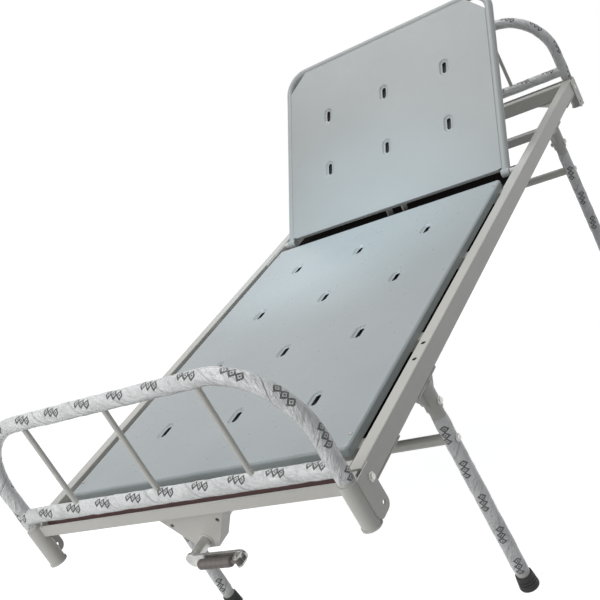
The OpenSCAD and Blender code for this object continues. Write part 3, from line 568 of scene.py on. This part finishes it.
def rounded_outline(low, high, radius, steps=5):
    """Points and outward directions round a rectangle with rounded corners."""
    rows = []
    for i, (sx, sy) in enumerate(((1, 1), (-1, 1), (-1, -1), (1, -1))):
        centre = Vector((high[0] - radius if sx > 0 else low[0] + radius,
                         high[1] - radius if sy > 0 else low[1] + radius))
        for j in range(steps + 1):
            a = math.pi / 2 * (i + j / steps)
            out = Vector((math.cos(a), math.sin(a)))
            rows.append((centre + out * radius, out))
    return rows


class BED_OT_deck(bpy.types.Operator):
    """Makes the deck: a drawn pan with dished slots"""

    bl_idname = "bed.deck"
    bl_label = "Deck"

    def execute(self, context):
        sizes = settings().sheets
        low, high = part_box("deck_panel")
        bend = sizes.deck_bend
        rows = rounded_outline((low.x + bend, low.y + bend), (high.x - bend, high.y - bend),
                               sizes.deck_corner - bend)
        first, last = low.y + sizes.deck_slot_end, high.y - sizes.deck_slot_end
        slots = [(column * sizes.slot_pitch_x, first + (last - first) * row / (sizes.deck_rows - 1))
                 for column in (-1, 0, 1) for row in range(sizes.deck_rows)]
        bm, border = pressed_sheet([p for p, _ in rows], slots, sizes)
        ring = border
        steps = 6
        drops = [(bend * math.sin(a), bend * (1 - math.cos(a)))
                 for a in (math.pi / 2 * i / steps for i in range(1, steps + 1))]
        drops.append((bend, high.z - low.z))
        for out, down in drops:
            following = [bm.verts.new((p.x + n.x * out, p.y + n.y * out, -down)) for p, n in rows]
            bridge(bm, ring, following)
            ring = following
        bmesh.ops.translate(bm, verts=bm.verts, vec=(0, 0, high.z))
        thicken(bm, sizes.deck_thickness)
        even_shading(add_piece("deck_pan", bm, "deck_paint", "bed_frame", ["deck_panel"]))
        self.rivets(sizes, low, high)
        return {"FINISHED"}

    def rivets(self, sizes, low, high):
        bm = bmesh.new()
        radius, tall = sizes.rivet / 2, sizes.rivet / 4
        dome = [(radius * math.cos(a), tall * math.sin(a))
                for a in (math.pi / 12 * i for i in range(6))]
        for x in (low.x + sizes.rivet_side, high.x - sizes.rivet_side):
            for y in (low.y + sizes.rivet_end, high.y - sizes.rivet_end):
                lathe(bm, [(0, 0), *dome, (0, tall)], Matrix.Translation((x, y, high.z)), 24)
        add_piece("deck_rivets", bm, "bare_steel", "bed_frame")


def thicken(bm, thickness):
    """Gives a sheet its thickness below its face."""
    bmesh.ops.recalc_face_normals(bm, faces=bm.faces)
    if sum(face.normal.z * face.calc_area() for face in bm.faces) < 0:
        bmesh.ops.reverse_faces(bm, faces=bm.faces)
    bmesh.ops.solidify(bm, geom=list(bm.faces), thickness=thickness)


def steady_order(mesh):
    """Puts points and faces in an order that doesn't change from run to run."""
    points = [tuple(vertex.co) for vertex in mesh.vertices]
    order = sorted(range(len(points)), key=points.__getitem__)
    rank = {old: new for new, old in enumerate(order)}
    faces = []
    for polygon in mesh.polygons:
        corners = [rank[i] for i in polygon.vertices]
        first = corners.index(min(corners))
        faces.append(corners[first:] + corners[:first])
    mesh.clear_geometry()
    mesh.from_pydata([points[i] for i in order], [], sorted(faces))
    for polygon in mesh.polygons:
        polygon.use_smooth = True


def even_shading(piece):
    """Keeps a sheet's flats flat and its edges crisp."""
    steady_order(piece.data)
    sharpen(piece, 40)
    piece.modifiers.new("even_shading", "WEIGHTED_NORMAL").keep_sharp = True


REST_ANGLE = math.radians(42)
# Outside bend radius of the backrest sheet's lower edge
LIP_BEND = 0.003


def raised():
    """The matrix of the backrest as it stands, from its flat place with the hinge at the origin."""
    return Matrix.Translation(PIVOT) @ Matrix.Rotation(REST_ANGLE, 4, "X")


class BED_OT_backrest(bpy.types.Operator):
    """Makes the backrest's sheet: dished slots, cut corners and a turned-down lower edge"""

    bl_idname = "bed.backrest"
    bl_label = "Backrest sheet"

    def execute(self, context):
        sizes = settings().sheets
        flat = raised().inverted()
        points = [flat @ v.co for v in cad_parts["backrest_panel"].data.vertices]
        half = max(p.x for p in points)
        end = max(p.y for p in points)
        top = max(p.z for p in points)
        # The lip is narrower than the sheet
        lip_half = max(p.x for p in points if p.z < top - 0.8 * sizes.back_lip)
        bend = LIP_BEND
        start, cut = sizes.back_start, sizes.back_cut
        outline = [(-lip_half, start + bend), (lip_half, start + bend), (half, start + bend),
                   (half, end - cut), (half - cut, end), (-half + cut, end), (-half, end - cut),
                   (-half, start + bend)]
        slots = [(column * sizes.slot_pitch_x, sizes.back_slot_first + row * sizes.back_slot_pitch)
                 for column in (-1, 0, 1) for row in (0, 1)]
        bm, border = pressed_sheet(outline, slots, sizes)
        edge = border[:2]
        steps = 6
        for i in range(1, steps + 2):
            a = math.pi / 2 * min(1, i / steps)
            down = bend * (1 - math.cos(a)) if i <= steps else sizes.back_lip
            following = [bm.verts.new((v.co.x, start + bend - bend * math.sin(a), -down))
                         for v in edge]
            bridge(bm, edge, following, closed=False)
            edge = following
        thicken(bm, sizes.back_thickness)
        bmesh.ops.transform(bm, matrix=raised() @ Matrix.Translation((0, 0, top)), verts=bm.verts)
        even_shading(add_piece("backrest_sheet", bm, "backrest_paint", "backrest",
                               ["backrest_panel"]))
        return {"FINISHED"}


# Packing film


# Corners of a ring of the film's mesh
FILM_SIDES = 44
# How far the film lies inside the sleeve that it replaces, and how far a fold may pass it
FILM_SINK, FILM_RISE = 0.9 * MM, 0.3 * MM
# Height of the film over the tube at its ends, and the least height anywhere
FILM_BASE, FILM_LEAST = 0.35 * MM, 0.25 * MM
# Length over which the film lies down at its ends
FILM_END = 0.012
# Share of a turn over which the strip's edge rises
EDGE_SHARE = 0.04


def wound_film(name, points, front, seed, replaced):
    """A creased film wound round a path, with metres in its UV map.

    Its printed marks start on the side that front points to."""
    films = settings().films
    points = resample(points, films.step)
    distances, frames = walk(points, front)
    total = distances[-1]
    bm = bmesh.new()
    rows = []
    shift = Vector((seed * 7.3, seed * 3.1, seed * 1.7))
    for point, distance, (normal, side) in zip(points, distances, frames):
        ring = []
        ends = min(distance, total - distance)
        for j in range(FILM_SIDES):
            a = 2 * math.pi * j / FILM_SIDES
            turn = (distance / films.wrap_pitch - j / FILM_SIDES + seed * 0.31) % 1.0
            layer = films.wrap_step * (1 - turn) * min(1, turn / EDGE_SHARE)
            out = normal * math.cos(a) + side * math.sin(a)
            twist = Vector((distance * 34 - j / FILM_SIDES * 4.0, math.cos(a) * 1.1,
                            math.sin(a) * 1.1))
            folds = noise.noise(twist + shift) * films.crease
            fine = noise.noise(twist * 3.3 + shift) * films.crease * 0.45
            outer = min(FILM_R + FILM_RISE, FILM_R - FILM_SINK + layer + 0.6 * (folds + fine))
            r = outer - BOW_R - FILM_BASE
            r = max(FILM_LEAST, FILM_BASE + r * min(1, 0.15 + ends / FILM_END))
            ring.append(bm.verts.new(point + out * (BOW_R + r)))
        rows.append(ring)
    for first, second in zip(rows, rows[1:]):
        bridge(bm, first, second)
    uv_layer = bm.loops.layers.uv.new("UVMap")
    order = {v: (i, j) for i, ring in enumerate(rows) for j, v in enumerate(ring)}
    circle = 2 * math.pi * FILM_R
    for face in bm.faces:
        columns = [order[loop.vert][1] for loop in face.loops]
        wraps = max(columns) - min(columns) > FILM_SIDES / 2
        for loop in face.loops:
            i, j = order[loop.vert]
            v = j + FILM_SIDES if wraps and j < FILM_SIDES / 2 else j
            loop[uv_layer].uv = (distances[i] + seed * 0.013, circle * v / FILM_SIDES)
    add_piece(name, bm, "packing_film", "bed_frame", replaced)


class BED_OT_films(bpy.types.Operator):
    """Winds the packing film round the bows and the legs"""

    bl_idname = "bed.films"
    bl_label = "Packing film"

    def execute(self, context):
        for seed, end in enumerate(ENDS):
            wound_film(f"{end}_hoop_wrap", hoop_path(end), (-0.45, -0.9, 0), 1 + seed,
                       [f"{end}_hoop_film"])
            low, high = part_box(f"{end}_rail_film")
            wound_film(f"{end}_rail_wrap", [Vector((low.x, BOW_Y[end], BOW_RAIL_Z)),
                                            Vector((high.x, BOW_Y[end], BOW_RAIL_Z))],
                       (0, -0.8, 0.6), 4 + seed, [f"{end}_rail_film"])
        low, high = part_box("leg_films")
        for seed, (end, side) in enumerate((e, s) for e in ENDS for s in SIDES):
            leg = middle(f"leg_{end}_{side}")
            wound_film(f"leg_wrap_{end}_{side}",
                       [Vector((leg.x, leg.y, low.z)), Vector((leg.x, leg.y, high.z))],
                       (0.5, -0.85, 0), 8 + seed, ["leg_films"])
        return {"FINISHED"}


# Fasteners, feet, thread and grip

# Width across the corners of a bolt head, its height and its chamfer
BOLT_ACROSS, BOLT_HEAD, BOLT_CHAMFER = 0.0146, 0.0055, 0.0012
# Radius of a shank, and radius and height of its turned tip
BOLT_R, BOLT_TIP_R, BOLT_TIP = 0.004, 0.0034, 0.0012
WASHER_R, WASHER_H, WASHER_ROUND = 0.0092, 0.0014, 0.0004
# Half the width across flats, as a share of half the width across corners
HEX_FLAT = 0.866
# Thickness that a corner bolt clamps, and radius of the leg sleeves
CORNER_GRIP, SLEEVE_R = 0.005, 0.019


def hexagon(bm, place, direction, height):
    """A bolt's hexagon with a turned chamfer on its outer face."""
    matrix = toward(place, direction)
    half = BOLT_ACROSS / 2
    profile = ((half, 0.0), (half, height - BOLT_CHAMFER), (half - 1.5 * BOLT_CHAMFER, height))
    rows = [[bm.verts.new(matrix @ Vector((r * math.cos(a), r * math.sin(a), h)))
             for a in (math.pi / 3 * i for i in range(6))] for r, h in profile]
    for first, second in zip(rows, rows[1:]):
        bridge(bm, first, second)
    bm.faces.new(rows[0])
    bm.faces.new(rows[-1])


def disc(bm, place, direction, radius, height, round_over):
    """A disc with a rounded outer edge."""
    lathe(bm, [(0, 0), (radius, 0), (radius, height - round_over),
               (radius - round_over * 0.4, height - round_over * 0.3),
               (radius - round_over, height), (0, height)], toward(place, direction))


class BED_OT_bolts(bpy.types.Operator):
    """Makes the bolts of the corners and legs, with their washers and nuts"""

    bl_idname = "bed.bolts"
    bl_label = "Bolts"

    def execute(self, context):
        for name, node, bolts in (
            ("corner_bolt_set", "corner_bolts", self.corner_places()),
            ("leg_bolt_set", "leg_bolts", self.leg_places()),
        ):
            bm = bmesh.new()
            for place, side, grip in bolts:
                out = Vector((side, 0, 0))
                shank = grip + BOLT_HEAD
                disc(bm, place, out, WASHER_R, WASHER_H, WASHER_ROUND)
                hexagon(bm, place + out * WASHER_H, out, BOLT_HEAD - WASHER_H)
                lathe(bm, [(0, 0), (BOLT_R, 0), (BOLT_R, shank), (BOLT_TIP_R, shank + BOLT_TIP),
                           (0, shank + BOLT_TIP)], toward(place, -out), 20)
                hexagon(bm, place - out * grip, -out, BOLT_HEAD)
            sharpen(add_piece(name, bm, "zinc_plate", "bed_frame", [node]), 25)
        return {"FINISHED"}

    def corner_places(self):
        """Place of a head, the side that it faces and the thickness that it clamps."""
        low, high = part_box("corner_bolts")
        height = (low.z + high.z) / 2
        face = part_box("corner_plates_foot")[1].x
        inset = span("corner_bolts").z * 0.5
        for side in (LEFT, RIGHT):
            for y in (low.y + inset * HEX_FLAT, high.y - inset * HEX_FLAT):
                yield Vector((side * face, y, height)), side, CORNER_GRIP

    def leg_places(self):
        """The same for the bolts of the sleeves and of the stretchers."""
        low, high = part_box("leg_bolts")
        radius = BOLT_ACROSS / 2 * math.sqrt(3) / 2
        for side in (LEFT, RIGHT):
            for end in ENDS:
                y = middle(f"leg_{end}_right").y
                yield Vector((side * (LEG_X + SLEEVE_R), y, high.z - radius)), side, 2 * SLEEVE_R
                yield Vector((side * (LEG_X + LEG_R), y, low.z + radius)), side, 2 * LEG_R


class BED_OT_ferrules(bpy.types.Operator):
    """Makes the ribbed rubber ferrules of the legs"""

    bl_idname = "bed.ferrules"
    bl_label = "Ferrules"

    def execute(self, context):
        for end in ENDS:
            for side in SIDES:
                node = f"ferrule_{end}_{side}"
                low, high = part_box(node)
                centre = Vector(((low.x + high.x) / 2, (low.y + high.y) / 2, low.z))
                bm = bmesh.new()
                lathe(bm, self.section((high.x - low.x) / 2, high.z - low.z),
                      Matrix.Translation(centre), 56)
                sharpen(add_piece(f"ribbed_{node}", bm, "black_rubber", "bed_frame", [node]), 50)
        return {"FINISHED"}

    def section(self, base, tall):
        """(radius, height) points up the foot, over the ribs and the mouth, and down the bore."""
        mouth, bore, floor = base - 0.0035, LEG_R + 0.0003, 0.008
        ribs, groove = 3, 0.0012
        points = [(0, 0.0008), (base * 0.55, 0.0008), (base * 0.6, 0), (base - 0.003, 0),
                  (base - 0.0008, 0.0007), (base, 0.003), (base, 0.007)]
        for i in range(ribs):
            z = 0.009 + i * (tall - 0.016) / ribs
            r = base + (mouth - base) * (z / tall)
            points += [(r - groove, z), (r - groove, z + 0.0022), (r, z + 0.0034),
                       (r - 0.0002, z + 0.0064)]
        return points + [(mouth - 0.0006, tall - 0.004), (mouth + 0.0002, tall - 0.003),
                         (mouth, tall - 0.0006), (mouth - 0.0008, tall), (bore + 0.0006, tall),
                         (bore, tall - 0.0006), (bore, floor), (0, floor)]


# Radius of the thread over its crests and at its root, and its advance in one turn
SCREW_R, SCREW_ROOT, SCREW_LEAD = 0.010, 0.0085, 0.010
SCREW_COLLAR = 0.008


class BED_OT_lead_screw(bpy.types.Operator):
    """Cuts the left-hand two-start thread on the lead screw"""

    bl_idname = "bed.lead_screw"
    bl_label = "Lead screw"

    def execute(self, context):
        low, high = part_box("lead_screw")
        collar_r, collar_y = (high.z - low.z) / 2, high.y - SCREW_COLLAR
        chamfer, margin, stub = 0.0008, 0.001, 0.008
        # The core closes the ends of the thread, a little below its root
        core_r, core_start = SCREW_ROOT - 0.0002, 0.007
        bm = bmesh.new()
        self.thread(bm, low.y + SCREW_LEAD / 2 + margin, collar_y - SCREW_LEAD / 2 - margin)
        for profile, y, segments in (
            ([(0, 0), (SCREW_ROOT - chamfer, 0), (SCREW_ROOT, chamfer), (SCREW_ROOT, 0.006),
              (SCREW_ROOT, stub)], low.y, 40),
            ([(core_r, 0), (core_r, collar_y - low.y - core_start)], low.y + core_start, 40),
            ([(SCREW_ROOT, 0), (collar_r - chamfer, 0), (collar_r, chamfer),
              (collar_r, SCREW_COLLAR - chamfer), (collar_r - chamfer, SCREW_COLLAR),
              (0, SCREW_COLLAR)], collar_y, 48),
        ):
            lathe(bm, profile, toward((0, y, SCREW_Z), (0, 1, 0)), segments)
        sharpen(add_piece("threaded_screw", bm, "bare_steel", "crank", ["lead_screw"]), 30)
        return {"FINISHED"}

    def thread(self, bm, start, stop):
        """The thread's surface; one row of vertices runs along a whole lead with both ridges."""
        steps = 24
        ridge = ((0.0, SCREW_ROOT), (0.1, SCREW_ROOT), (0.18, SCREW_R), (0.32, SCREW_R),
                 (0.4, SCREW_ROOT))
        shape = (*ridge, *((t + 0.5, r) for t, r in ridge), (1.0, SCREW_ROOT))
        rows = []
        for i in range(int((stop - start) / SCREW_LEAD * steps) + 1):
            a = 2 * math.pi * i / steps
            y = start + SCREW_LEAD * i / steps
            rows.append([bm.verts.new((r * math.cos(a), y + (t - 0.5) * SCREW_LEAD,
                                       SCREW_Z + r * math.sin(a))) for t, r in shape])
        for first, second in zip(rows, rows[1:]):
            bridge(bm, first, second, closed=False)
        bmesh.ops.remove_doubles(bm, verts=bm.verts, dist=1e-6)


class BED_OT_grip(bpy.types.Operator):
    """Makes the folding grip with its finger rings"""

    bl_idname = "bed.grip"
    bl_label = "Crank grip"

    def execute(self, context):
        low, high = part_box("crank_grip")
        radius = (high.y - low.y) / 2
        eye_r, eye_bore, neck_r = 0.007, 0.0031, 0.005
        centre = Vector((high.x - eye_r, (low.y + high.y) / 2, (low.z + high.z) / 2))
        body_start = eye_r + 0.008
        total = centre.x - low.x
        profile = [(0, 0.003), (neck_r, 0.003), (neck_r, body_start - 0.001),
                   (neck_r + 0.001, body_start), (radius - 0.006, body_start),
                   (radius - 0.003, body_start + 0.001), (radius - 0.0008, body_start + 0.0035)]
        rings, groove = 5, 0.0013
        run = total - body_start - 0.018
        for i in range(rings):
            d = body_start + 0.009 + run * i / rings
            profile += [(radius, d), (radius, d + run / rings * 0.62),
                        (radius - groove, d + run / rings * 0.72),
                        (radius - groove, d + run / rings * 0.86)]
        profile += [(radius, total - 0.009), (radius - 0.0006, total - 0.004),
                    (radius - 0.003, total - 0.001), (radius - 0.006, total), (0, total)]
        bm = bmesh.new()
        lathe(bm, profile, toward(centre, (-1, 0, 0)), 48)
        half_z, chamfer = (high.z - low.z) / 2, 0.0006
        eye_h = half_z if half_z < radius else 0.007
        lathe(bm, [(eye_bore, -eye_h), (eye_r - chamfer, -eye_h), (eye_r, -eye_h + chamfer),
                   (eye_r, eye_h - chamfer), (eye_r - chamfer, eye_h), (eye_bore, eye_h),
                   (eye_bore, -eye_h)], Matrix.Translation(centre), 40)
        sharpen(add_piece("ringed_grip", bm, "grip_plastic", "crank_grip", ["crank_grip"]), 35)
        return {"FINISHED"}


# Stage

# Distances from the origin between which the floor fades to plain white
FADE_FROM, FADE_TO = 1.6, 3.0
FLOOR_REACH = 14.0
SPOT_ANGLE = math.radians(58)
# Name, kind, place, target, size, power and colour of each lamp
LAMPS = (
    ("ceiling", "AREA", (-0.5, 0.9, 3.6), (0, 0.2, 0.6), 2.4, 48.0, (1, 1, 1)),
    ("front", "AREA", (-1.0, -3.8, 2.0), (0, -0.3, 0.6), 2.0, 43.0, (1, 1, 1)),
    ("rim", "AREA", (2.8, 2.4, 2.4), (0, 0.4, 0.6), 1.6, 7.0, (1, 1, 1)),
    ("foot", "AREA", (-0.2, -1.9, 1.9), (0, -0.95, 0.6), 0.8, 5.0, (1, 1, 1)),
    ("window", "SPOT", (-0.3, -0.25, 1.6), (-0.08, 0.18, 0.6), 0.15, 22.0, (0.60, 0.84, 1.0)),
)


class BED_OT_stage(bpy.types.Operator):
    """Sets the pale floor, the lights and the camera"""

    bl_idname = "bed.stage"
    bl_label = "Stage"

    def execute(self, context):
        scene = context.scene
        scene.view_settings.view_transform = "Standard"
        self.world(scene)
        self.floor(scene)
        self.shade_cards(scene)
        self.lights(scene)
        self.camera(scene)
        return {"FINISHED"}

    def seen(self, s):
        """1 where a camera, glossy or transmitted ray sees the background."""
        camera = s.node("ShaderNodeLightPath")
        return camera + camera.other("Is Glossy Ray") + camera.other("Is Transmission Ray") > 0.5

    def world(self, scene):
        world = bpy.data.worlds.new("studio")
        s = Shader(world)
        fill = s.node("ShaderNodeBackground", None,
                      {"Color": (0.93, 0.96, 1.0, 1), "Strength": 0.32})
        white = s.node("ShaderNodeBackground", None, {"Color": (1, 1, 1, 1), "Strength": 1.0})
        s.finish(s.node("ShaderNodeMixShader", None, {0: self.seen(s), 1: fill, 2: white}), "World")
        scene.world = world

    def sheet(self, scene, name, corners, shader):
        """A flat stage piece."""
        mesh = bpy.data.meshes.new(name)
        mesh.from_pydata(corners, [], [(0, 1, 2, 3)])
        mesh.materials.append(shader.owner)
        piece = bpy.data.objects.new(name, mesh)
        scene.collection.objects.link(piece)
        return piece

    def floor(self, scene):
        """A pale floor that camera and reflections see as white, with the bed's faint shadow."""
        s = Shader(bpy.data.materials.new("studio_floor"))
        far = s.node("ShaderNodeVectorMath", {"operation": "LENGTH"}, {0: s.place()},
                     output="Value")
        matt = s.node("ShaderNodeBsdfDiffuse", None, {"Color": (0.42, 0.42, 0.42, 1)})
        glow = s.node("ShaderNodeEmission", None, {"Color": (1, 1, 1, 1), "Strength": 0.88})
        white = s.node("ShaderNodeEmission", None, {"Color": (1, 1, 1, 1), "Strength": 1.0})
        near = s.node("ShaderNodeAddShader", None, {0: matt, 1: glow})
        shown = s.node("ShaderNodeMixShader", None,
                       {0: s.ramp(far, FADE_FROM, FADE_TO), 1: near, 2: white})
        s.finish(s.node("ShaderNodeMixShader", None, {0: self.seen(s), 1: matt, 2: shown}))
        self.sheet(scene, "studio_floor",
                   [(x * FLOOR_REACH, y * FLOOR_REACH, 0) for x, y in SQUARE], s)

    def shade_cards(self, scene):
        """Dark cards between the rails and before the foot rail: painted shade seen through the
        gaps, which casts no shadow and lights nothing.
        """
        low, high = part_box("side_rail_right")
        front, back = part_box("end_rail_foot")
        under, gap, past_hinge = low.z + 2 * MM, 2 * MM, 0.14
        for name, shade, corners in (
            # Painted shade under the deck, seen through its slots and gaps and under the backrest
            ("deck_shade_card", (0.022, 0.019, 0.018, 1),
             [(x * low.x, PIVOT.y + past_hinge if y > 0 else back.y, under) for x, y in SQUARE]),
            # Painted shade in the gap between the foot bow's lower rail and the end rail
            ("foot_shade_card", (0.20, 0.13, 0.125, 1),
             [(x * low.x, front.y - gap, high.z - MM if z > 0 else under) for x, z in SQUARE]),
        ):
            s = Shader(bpy.data.materials.new(name))
            s.finish(s.node("ShaderNodeBsdfDiffuse", None, {"Color": shade}))
            card = self.sheet(scene, name, corners, s)
            card.visible_shadow = card.visible_diffuse = False

    def lights(self, scene):
        for name, kind, place, target, size, power, shade in LAMPS:
            data = bpy.data.lights.new(name, kind)
            data.energy, data.color = power, shade
            if kind == "AREA":
                data.shape, data.size = "SQUARE", size
            else:
                data.shadow_soft_size, data.spot_size, data.spot_blend = size, SPOT_ANGLE, 1.0
            light = bpy.data.objects.new(name, data)
            light.location = place
            light.rotation_mode = "QUATERNION"
            aim = Vector(target) - Vector(place)
            light.rotation_quaternion = aim.to_track_quat("-Z", "Y")
            scene.collection.objects.link(light)

    def camera(self, scene):
        """The plain camera that was fitted to the photograph."""
        data = bpy.data.cameras.new("camera")
        data.sensor_width, data.lens = 36.0, 56.746
        camera = bpy.data.objects.new("camera", data)
        right = Vector((0.788152, 0.398941, -0.468681))
        down = Vector((-0.230183, -0.515173, -0.825599))
        ahead = Vector((-0.570817, 0.758580, -0.314205))
        camera.rotation_mode = "QUATERNION"
        camera.rotation_quaternion = Matrix((right, -down, -ahead)).transposed().to_quaternion()
        camera.location = (1.3761, -2.1334, 1.4213)
        data.clip_start, data.clip_end = 0.05, 60.0
        scene.collection.objects.link(camera)
        scene.camera = camera


class BED_PT_panel(bpy.types.Panel):
    """Lists the bed's sizes, colours and steps"""

    bl_label = "Hospital bed"
    bl_idname = "BED_PT_panel"
    bl_space_type = "VIEW_3D"
    bl_region_type = "UI"
    bl_category = "Bed"

    def draw(self, context):
        bed = context.scene.hospital_bed
        for title, group in (("Sheets", bed.sheets), ("Film", bed.films),
                             ("Finishes", bed.finishes)):
            box = self.layout.box()
            box.label(text=title)
            for name in group.__annotations__:
                box.prop(group, name)
        for operator in OPERATORS:
            self.layout.operator(operator.bl_idname)


GROUPS = (PressedSheetSizes, FilmSizes, BedFinishes, BedSettings)
OPERATORS = (BED_OT_frame_finish, BED_OT_deck, BED_OT_backrest, BED_OT_films, BED_OT_bolts,
             BED_OT_ferrules, BED_OT_lead_screw, BED_OT_grip, BED_OT_stage)


def register():
    for cls in (*GROUPS, *OPERATORS, BED_PT_panel):
        bpy.utils.register_class(cls)
    bpy.types.Scene.hospital_bed = PointerProperty(type=BedSettings)


def unregister():
    del bpy.types.Scene.hospital_bed
    for cls in reversed((*GROUPS, *OPERATORS, BED_PT_panel)):
        bpy.utils.unregister_class(cls)


def main():
    register()
    bpy.ops.bed.frame_finish()
    bpy.ops.bed.deck()
    bpy.ops.bed.backrest()
    bpy.ops.bed.films()
    bpy.ops.bed.bolts()
    bpy.ops.bed.ferrules()
    bpy.ops.bed.lead_screw()
    bpy.ops.bed.grip()
    bpy.ops.bed.stage()


if __name__ == "__main__":
    main()
